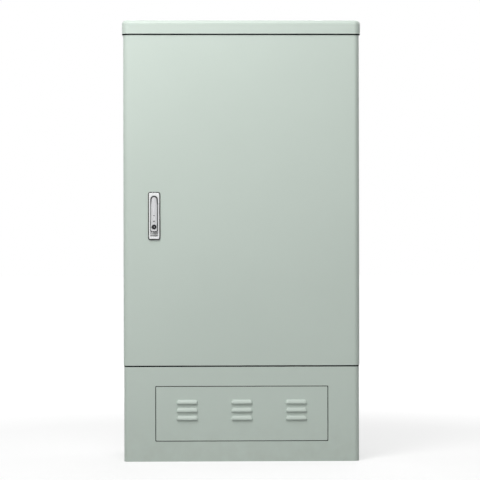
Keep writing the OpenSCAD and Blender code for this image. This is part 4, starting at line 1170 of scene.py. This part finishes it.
@dataclass
class RodLock(SubAssembly):
    """Lock case with its pinion, rods and guides behind the door."""

    body: Body = Body.DOOR
    edges: Widths = soft_edges(
        bezel_clamp=0.5,
        lock_case=0.8,
        lock_cover=0.6,
        lock_case_screws=0.3,
        rod_guides=0.8,
        lock_pinion=0.15,
        spindle_bolt=0.4,
        lock_rod_upper=0.2,
        lock_rod_lower=0.2,
    )


@dataclass
class CableEntries(SubAssembly):
    """Gland plate with its rubber grommets."""

    edges: Widths = soft_edges(gland_plate=0.5, gland_plate_screws=0.3, cable_grommets=0.0)
    entry_x: tuple[float, ...] = CABLE_X
    entry_y: float = 15.0
    plate_z: float = 306.0
    plate_t: float = 3.0
    bore_r: float = 16.0
    neck_r: float = 24.0
    lip_r: float = 28.0
    lip_h: float = 4.0
    soft: float = 1.2
    corner: float = 0.36
    play: float = 0.02
    groove_in: Pair = (3.0, 3.6)
    groove_d: float = 0.8
    steps: int = 48

    def section(self) -> list[Pair]:
        """Return a grommet's section: radius and height above the plate's underside.

        Returns:
            The points of the closed section.
        """
        foot = -self.lip_h
        top = self.plate_t + self.lip_h
        edge, bed = self.groove_in
        return [
            (self.bore_r, foot + self.soft),
            (self.bore_r + self.soft, foot),
            (self.lip_r - self.soft, foot),
            (self.lip_r - self.corner, foot + self.corner),
            (self.lip_r, foot + self.soft),
            (self.lip_r, -self.play),
            (self.neck_r, -self.play),
            (self.neck_r, self.plate_t + self.play),
            (self.lip_r, self.plate_t + self.play),
            (self.lip_r, top - self.soft),
            (self.lip_r - self.corner, top - self.corner),
            (self.lip_r - self.soft, top),
            (self.lip_r - edge, top),
            (self.lip_r - bed, top - self.groove_d),
            (self.bore_r + bed, top - self.groove_d),
            (self.bore_r + edge, top),
            (self.bore_r + self.soft, top),
            (self.bore_r, top - self.soft),
        ]

    def build(self) -> None:
        """Turn the grommets with rounded lips."""
        former = Former()
        for x in self.entry_x:
            centre = (x, self.entry_y, self.plate_z)
            former.turned(centre, UPWARD, self.section(), self.steps, around=True)
        self.add(former.build("grommet_rings"), Slot.SEAL_RUBBER, "cable_grommets")


@dataclass
class WiringFrame(SubAssembly):
    """Uprights and rails with the connection modules, cable clamps and earth bar."""

    edges: Widths = soft_edges(
        upright_left=0.8,
        upright_right=0.8,
        cross_rails=0.6,
        rail_bolts=0.4,
        module_frame_left=0.6,
        module_frame_right=0.6,
        modules_left=0.9,
        modules_right=0.9,
        cable_clamps=1.2,
        earth_bar=0.5,
        earth_insulators=0.8,
        earth_bar_screws=0.4,
    )
    stack_x: float = 112.0
    stack_z: float = 655.5
    module_front_y: float = 63.5
    module_w: float = 124.0
    module_h: float = 48.0
    module_pitch: float = 54.0
    module_count: int = 11
    row_shares: Pair = (0.22, 0.62)
    row_height_share: float = 0.16
    row_edge: float = 6.0
    row_d: float = 5.0
    contacts: int = 20
    comb_half_t: float = 0.9
    comb_drops: Pair = (0.2, 1.4)
    comb_over: float = 0.05
    blade_x: Pair = (-0.75, 0.45)
    blade_t: float = 0.3
    blade_drop: float = 1.0
    blade_in: float = 0.9
    marker_half_w: float = 50.0
    marker_half_h: float = 3.6
    marker_r: float = 1.5
    marker_steps: int = 4
    marker_drops: Pair = (0.1, -0.6)
    clamp_x: tuple[float, ...] = CABLE_X
    clamp_front_y: float = 74.0
    clamp_z: float = 471.0
    clamp_screw_x: float = 16.5
    washer: Profile = ((5.5, -0.2), (5.5, 0.9), (5.0, 1.1))
    washer_steps: int = 28
    screw_head: Profile = ((4.1, 0.9), (4.1, 4.3), (3.4, 4.8))
    screw_flats: int = 6

    def module_feet(self) -> Iterator[float]:
        """Yield the height of the underside of each module in a column."""
        for i in range(self.module_count):
            yield self.stack_z + (i + 0.5) * self.module_pitch - self.module_h / 2

    def contact_rows(self) -> Iterator[Pair]:
        """Yield the contact rows of a column.

        Yields:
            The heights of a row's low and high edge.
        """
        height = self.module_h * self.row_height_share
        for foot in self.module_feet():
            for share in self.row_shares:
                low = foot + self.module_h * share
                yield low, low + height

    def column(self, side: int, name: str) -> None:
        """Fill the wire slots of one column with combs and contact blades.

        Args:
            side: minus one for the left column and one for the right.
            name: word for the column in the pieces' names.
        """
        front = self.module_front_y
        back = front + self.row_d
        x0 = side * self.stack_x - self.module_w / 2 + self.row_edge
        pitch = (self.module_w - 2 * self.row_edge) / self.contacts
        combs = Former()
        blades = Former()
        for low, high in self.contact_rows():
            for i in range(1, self.contacts):
                x = x0 + i * pitch
                combs.box(
                    (x - self.comb_half_t, front + self.comb_drops[i % 2], low - self.comb_over),
                    (x + self.comb_half_t, back, high + self.comb_over),
                )
            for i in range(self.contacts):
                for offset in self.blade_x:
                    x = x0 + (i + 0.5) * pitch + offset
                    blades.box(
                        (x, front + self.blade_drop, low + self.blade_in),
                        (x + self.blade_t, back, high - self.blade_in),
                    )
        self.add(combs.build(f"wire_combs_{name}"), Slot.MODULE_PLASTIC)
        self.add(blades.build(f"contact_blades_{name}"), Slot.BRIGHT_STEEL)

    def marker_strips(self) -> None:
        """Add the blank marker strips between the rows of every module."""
        former = Former()
        depths = [self.module_front_y + drop for drop in self.marker_drops]
        lower, upper = self.row_shares
        middle = self.module_h * (lower + self.row_height_share + upper) / 2
        for side in (-1, 1):
            x = side * self.stack_x
            for foot in self.module_feet():
                z = foot + middle
                outline = rounded_rect(
                    (x - self.marker_half_w, z - self.marker_half_h),
                    (x + self.marker_half_w, z + self.marker_half_h),
                    self.marker_r,
                    self.marker_steps,
                )
                former.loft([[(u, y, v) for u, v in outline] for y in depths])
        self.add(former.build("marker_strips"), Slot.POCKET_PLASTIC)

    def clamp_screws(self) -> None:
        """Add two hexagon screws with washers to the front of every cable clamp."""
        former = Former()
        for x in self.clamp_x:
            for side in (-1, 1):
                place = (x + side * self.clamp_screw_x, self.clamp_front_y, self.clamp_z)
                former.turned(place, FORWARD, self.washer, self.washer_steps)
                former.turned(place, FORWARD, self.screw_head, self.screw_flats)
        self.add(former.build("clamp_screws"), Slot.ZINC_FASTENER)

    def build(self) -> None:
        """Build the fine pieces of the wiring frame."""
        self.column(-1, "left")
        self.column(1, "right")
        self.marker_strips()
        self.clamp_screws()


@dataclass(frozen=True)
class Lamp:
    """A square soft lamp aimed at a point, in metres and watts."""

    name: str
    place: Triple
    aim: Triple
    side: float
    power: float

    def hang(self) -> None:
        """Put the lamp in the scene."""
        data = bpy.data.lights.new(self.name, "AREA")
        data.shape = "SQUARE"
        data.size = self.side
        data.energy = self.power
        lamp = bpy.data.objects.new(self.name, data)
        lamp.location = self.place
        look = Vector(self.aim) - Vector(self.place)
        lamp.rotation_euler = look.to_track_quat("-Z", "Y").to_euler()
        bpy.context.scene.collection.objects.link(lamp)


@dataclass
class Studio:
    """Pale floor, white surroundings, soft lamps and the photograph's camera."""

    floor_half: float = 30.0
    floor_grey: Colour = (0.40, 0.40, 0.40)
    floor_glow: Pair = (0.62, 1.0)
    floor_fade: Pair = (1.2, 4.0)
    ambient: float = 0.17
    sensor: float = 36.0
    lens: float = 141.85
    distance: float = 6.0
    aim: Triple = (-0.005, -0.160, 0.7024)
    yaw: float = 1.0
    roll: float = 0.1
    lamps: tuple[Lamp, ...] = (
        Lamp("key", (-1.15, -2.2, 2.5), (-0.1, -0.16, 1.0), 1.4, 38.0),
        Lamp("front", (-0.2, -4.6, 1.3), (0.0, -0.16, 0.7), 3.0, 20.0),
        Lamp("top", (-0.4, -1.8, 3.6), (0.0, -0.1, 1.2), 1.6, 50.0),
        Lamp("left", (-3.0, 2.2, 2.4), (0.0, 0.0, 0.7), 2.0, 14.0),
        Lamp("right", (3.0, 2.2, 2.4), (0.0, 0.0, 0.7), 2.0, 32.0),
        Lamp("back", (0.6, 3.4, 2.6), (0.0, 0.0, 0.8), 2.2, 48.0),
    )

    def surround(self) -> None:
        """Make the world: white where it is seen, plain soft light elsewhere."""
        world = bpy.data.worlds.new("surroundings")
        bpy.context.scene.world = world
        world.use_nodes = True
        writer = NodeWriter(world.node_tree)
        background = writer.tree.nodes["Background"]
        writer.feed(background.inputs["Color"], WHITE)
        strength = writer.spread(writer.seen(), self.ambient, 1.0, FULL_RANGE)
        writer.feed(background.inputs["Strength"], strength)

    def lay_floor(self) -> None:
        """Lay the floor, which keeps a soft shadow and fades into white."""
        mesh = bpy.data.meshes.new("floor")
        s = self.floor_half
        mesh.from_pydata([(-s, -s, 0), (s, -s, 0), (s, s, 0), (-s, s, 0)], [], [(0, 1, 2, 3)])
        floor = bpy.data.objects.new("floor", mesh)
        bpy.context.scene.collection.objects.link(floor)
        writer = ShaderWriter("pale_floor")
        writer.put("Base Color", self.floor_grey)
        writer.put("Roughness", 1.0)
        writer.put("Specular IOR Level", 0.0)
        writer.put("Emission Color", WHITE)
        glow = writer.spread(writer.away(), *self.floor_glow, self.floor_fade)
        writer.put("Emission Strength", writer.combine("MULTIPLY", writer.seen(), glow))
        mesh.materials.append(writer.material)

    def set_camera(self) -> None:
        """Set up the camera of the photograph."""
        data = bpy.data.cameras.new("camera")
        data.sensor_width = self.sensor
        data.lens = self.lens
        camera = bpy.data.objects.new("camera", data)
        yaw = math.radians(self.yaw)
        away = Vector((-math.sin(yaw), -math.cos(yaw), 0.0))
        camera.location = Vector(self.aim) + away * self.distance
        look = (-away).to_track_quat("-Z", "Y").to_matrix().to_4x4()
        roll = Matrix.Rotation(math.radians(-self.roll), 4, "Z")
        camera.rotation_euler = (look @ roll).to_euler()
        bpy.context.scene.collection.objects.link(camera)
        bpy.context.scene.camera = camera

    def build(self) -> None:
        """Build the whole studio."""
        bpy.context.scene.view_settings.view_transform = "Standard"
        self.surround()
        self.lay_floor()
        for lamp in self.lamps:
            lamp.hang()
        self.set_camera()
        LOG.info("built the studio")


def main() -> None:
    """Build the studio and dress every sub-assembly."""
    logging.basicConfig(level=logging.INFO, format="%(name)s: %(message)s")
    Studio().build()
    subparts = frame["record"]["subparts"]
    slots = {entry["node"]: Slot(entry["material_slot"]) for entry in subparts}
    kinds = (Plinth, Shell, Door, SwingHandle, RodLock, CableEntries, WiringFrame)
    groups: list[SubAssembly] = [kind() for kind in kinds]
    for group in groups:
        group.dress(frame["nodes"], slots)
        group.build()
    dressed = {name for group in groups for name in group.edges}
    for name in sorted(set(frame["nodes"]) - dressed):
        LOG.warning("no group dresses %s", name)


if __name__ == "__main__":
    main()
